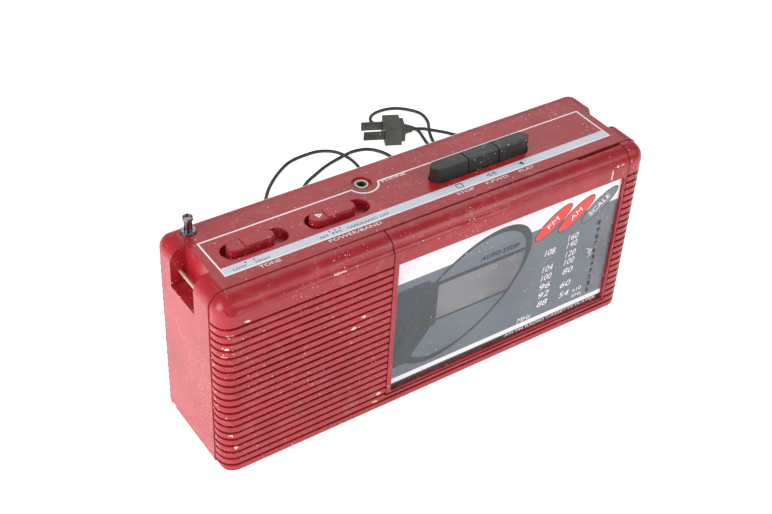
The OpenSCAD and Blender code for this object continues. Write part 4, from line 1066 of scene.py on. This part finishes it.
    def _scuff(self, kit: Kit) -> None:
        """A curl that something rubbed white on the front of the clear window."""
        face = Face((0, self.window_front, 0), (1, 0, 0), (0, 0, 1))
        curl = Print("window_scuff", "cassette_door", face, Ink.WHITE)
        curl.ring(*self.CURL)
        for stroke in self.STROKES:
            curl.disc(*stroke)
        curl.lay(kit)


# The mains cord


@dataclass(frozen=True)
class MainsCord:
    """The thin cord: out of its relief, through the stored coil and the loops, to its plug.

    Attributes:
        radius: half the cord's thickness.
        turns: turns in each layer of the coil.
        middle: middle of the coil.
        outer: radius of its outer turn.
        low: height of its lower layer.
        rise: how far the upper layer lies over the lower one.
        dip: how far the coil pulls in where it climbs.
        gap: room between its turns.
        knots: steps from one route point to the next.
    """

    radius: float = 1.2
    turns: int = 4
    middle: tuple[float, float] = (76.0, 85.3)
    outer: float = 19.0
    low: float = 1.8
    rise: float = 3.0
    dip: float = 1.0
    gap: float = 0.5
    knots: int = 6

    TURN_STEPS = 32
    ROUND_STEPS = 3
    CARRIED = ("mains_plug", "plug_blades", "cord_tie", "cord_relief")
    LEAD = (
        (115, 57, 18), (115, 63, 18), (115, 70, 16.8), (115, 77.5, 11.8), (114, 85.5, 6), (111, 94, 2.6),
        (104, 101, 1.6), (94, 104, 1.6), (84, 104.3, 1.8), (78.4, 104.3, 1.8),
    )
    LOOPS = (
        (73.6, 104.3, 4.8), (69, 104.3, 4.8), (61, 105.5, 4), (54, 111, 2.4), (51, 120, 1.5), (55, 131, 1.5),
        (64, 141, 1.5), (72, 152, 1.5), (76, 165, 2.4), (75, 176, 4.2), (71, 187, 4.6), (63, 196, 3),
        (52, 199, 1.6), (38, 197, 1.5), (24, 189, 1.5), (11, 178, 1.5), (1, 166, 1.5), (-10, 150, 1.5),
        (-18, 134, 1.5),
        (-14, 120, 1.5), (0, 116, 1.5), (10, 128, 1.5), (18, 148, 1.5), (32, 167, 1.5), (48, 176, 1.5),
        (60, 181, 1.5), (72, 184, 1.5), (84, 186, 1.5), (95, 183, 1.5), (102, 174, 1.5), (106, 160, 1.5),
        (115, 149, 1.5), (127, 148, 1.5), (134, 158, 1.5), (137, 172, 1.5), (140, 186, 1.5), (135, 196, 1.5),
        (126, 201, 1.5), (119, 206, 1.5), (117, 213, 1.5), (122, 219, 1.5), (131, 221, 1.5), (141, 219, 1.5),
        (149, 213, 1.5), (155, 203, 1.5), (153, 191, 1.5), (146, 179, 1.5), (141, 166, 1.5), (141, 153, 1.5),
        (150, 145, 1.5), (160, 150, 1.5), (163, 161, 1.6), (156, 170, 2.8), (147, 175.2, 5),
        (139.2, 178.7, 7), (132, 182, 7.2),
    )

    def _smooth(self, points: Sequence[Triple]) -> list[Vector]:
        """The smooth curve through the points that the CAD follows too.

        Args:
            points: the points that it passes through.

        Returns:
            Points along the curve.
        """
        route = [Vector(p) for p in points]
        last = len(route) - 1
        made = []
        for k in range(last * self.knots + 1):
            i = min(last - 1, k // self.knots)
            u = k / self.knots - i
            a, b, c, d = route[max(0, i - 1)], route[i], route[i + 1], route[min(last, i + 2)]
            bend = (2 * a - 5 * b + 4 * c - d) * u * u + (3 * b - a - 3 * c + d) * u ** 3
            made.append(0.5 * (2 * b + (c - a) * u + bend))
        return made

    def _coil(self) -> list[Vector]:
        """The stored length: two layers, wound inwards below and outwards above."""
        pitch = 2 * self.radius + self.gap
        made = []
        for k in range(2 * self.turns * self.TURN_STEPS + 1):
            t = k / self.TURN_STEPS
            climb = min(1.0, max(0.0, (t - self.turns + 0.25) / 0.5))
            inner = min(self.turns - abs(t - self.turns), self.turns - 0.25)
            reach = self.outer - pitch * inner - self.dip * math.sin(math.pi * climb) ** 2
            angle = math.pi / 2 + 2 * math.pi * t
            across, along = self.middle[0] + reach * math.cos(angle), self.middle[1] + reach * math.sin(angle)
            made.append(Vector((across, along, self.low + self.rise * climb * climb * (3 - 2 * climb))))
        return made

    def build(self, kit: Kit) -> None:
        points = self._smooth(self.LEAD) + self._coil() + self._smooth(self.LOOPS)
        data = bpy.data.curves.new("cord", "CURVE")
        data.dimensions = "3D"
        data.bevel_depth = self.radius * MM
        data.bevel_resolution = self.ROUND_STEPS
        data.use_fill_caps = True
        line = data.splines.new("POLY")
        line.points.add(len(points) - 1)
        for knot, p in zip(line.points, points):
            knot.co = (*(p * MM), 1)
        line.use_smooth = True
        made = bpy.data.objects.new("cord", data)
        bpy.context.scene.collection.objects.link(made)
        kit.keep(made, "cord", "cabinet", kit.slots["black_rubber"])
        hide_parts("cord_lead_in", "cord_coil", "cord_loops")
        length = sum((b - a).length for a, b in zip(points, points[1:])) * MM
        tuple(points[0] * MM)
        LOG.info("cord length %.3f m", length)


# Stage, light and camera


@dataclass(frozen=True)
class Lamp:
    """A square soft light that faces the object.

    Attributes:
        name: its name.
        at: its place, in metres.
        size: its side, in metres.
        power: its power, in watts.
    """

    name: str
    at: Triple
    size: float
    power: float


@dataclass(frozen=True)
class Studio:
    """The pale floor, the soft light and the camera of the photograph.

    Attributes:
        room: strength of the even light.
        floor: half the floor's size, in metres.
        glow: how much the floor shines by itself, so that it stays white.
        eye: the camera's place, in millimetres.
        back: the way out of the back of the camera.
        right: the way to its right.
        lens: focal length in millimetres, on a sensor 36 mm wide.
    """

    room: float = 0.4
    floor: float = 3.0
    glow: float = 0.75
    eye: Triple = (-352.29, -457.32, 529.11)
    back: Triple = (-0.46135, -0.62991, 0.62479)
    right: Triple = (0.82820, -0.55832, 0.04866)
    lens: float = 61.39

    LAMPS = (
        Lamp("left_softbox", (-1.1, -0.1, 0.5), 0.7, 10), Lamp("front_softbox", (0.66, -0.86, 0.9), 0.5, 4),
        Lamp("back_softbox", (0.62, 0.86, 1.0), 0.9, 3.2),
    )
    AIM = Vector((0, 0, 0.06))
    PAINT = (0.93, 0.93, 0.93)
    PAINT_SHADE = (0.9, 0.9, 0.9)
    SENSOR = 36

    def _floor(self) -> None:
        """A pale floor that keeps the object's shadow."""
        graph = Graph("floor")
        paint = graph.mix(graph.noise(30, 3) * 0.1, self.PAINT, self.PAINT_SHADE)
        shader = graph.add(
            "BsdfPrincipled", Base_Color=paint, Roughness=0.8, Emission_Color=(1.0, 1.0, 1.0),
            Emission_Strength=self.glow,
        )
        graph.feed(graph.add("OutputMaterial").inputs[0], shader.outputs[0])
        bpy.ops.mesh.primitive_grid_add(x_subdivisions=4, y_subdivisions=4, size=2 * self.floor)
        floor = bpy.context.object
        floor.name = "floor"
        floor.data.materials.append(graph.material)

    def _light(self) -> None:
        """The even room and the three soft lights."""
        world = bpy.data.worlds.new("room")
        world.use_nodes = True
        sky = world.node_tree.nodes["Background"].inputs
        sky[0].default_value = (1, 1, 1, 1)
        sky[1].default_value = self.room
        bpy.context.scene.world = world
        for lamp in self.LAMPS:
            light = bpy.data.lights.new(lamp.name, "AREA")
            light.size, light.energy = lamp.size, lamp.power
            stand = bpy.data.objects.new(lamp.name, light)
            stand.location = lamp.at
            stand.rotation_euler = (self.AIM - Vector(lamp.at)).to_track_quat("-Z", "Y").to_euler()
            bpy.context.scene.collection.objects.link(stand)

    def _camera(self) -> None:
        """The camera where the photograph was taken from."""
        back, right = Vector(self.back), Vector(self.right)
        lens = bpy.data.cameras.new("camera")
        lens.lens, lens.sensor_width, lens.clip_start = self.lens, self.SENSOR, 0.01
        lens.dof.use_dof = False
        view = bpy.data.objects.new("camera", lens)
        turned = Matrix((right, back.cross(right), back)).transposed().to_4x4()
        view.matrix_world = Matrix.Translation(Vector(self.eye) * MM) @ turned
        bpy.context.scene.collection.objects.link(view)
        bpy.context.scene.camera = view
        bpy.context.scene.view_settings.view_transform = "Standard"

    def build(self) -> None:
        """Sets up the floor, the light and the camera."""
        deselect()
        self._floor()
        self._light()
        self._camera()


def main() -> None:
    """Builds the whole scene."""
    logging.basicConfig(level=logging.INFO, format="%(message)s")
    kit = Kit(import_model())
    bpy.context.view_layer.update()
    Studio().build()
    MainsCord().build(kit)
    kit.dress()
    for part in (TopPrint(), KnobMarks(), DialPrint()):
        part.build(kit)
    deselect()


if __name__ == "__main__":
    main()
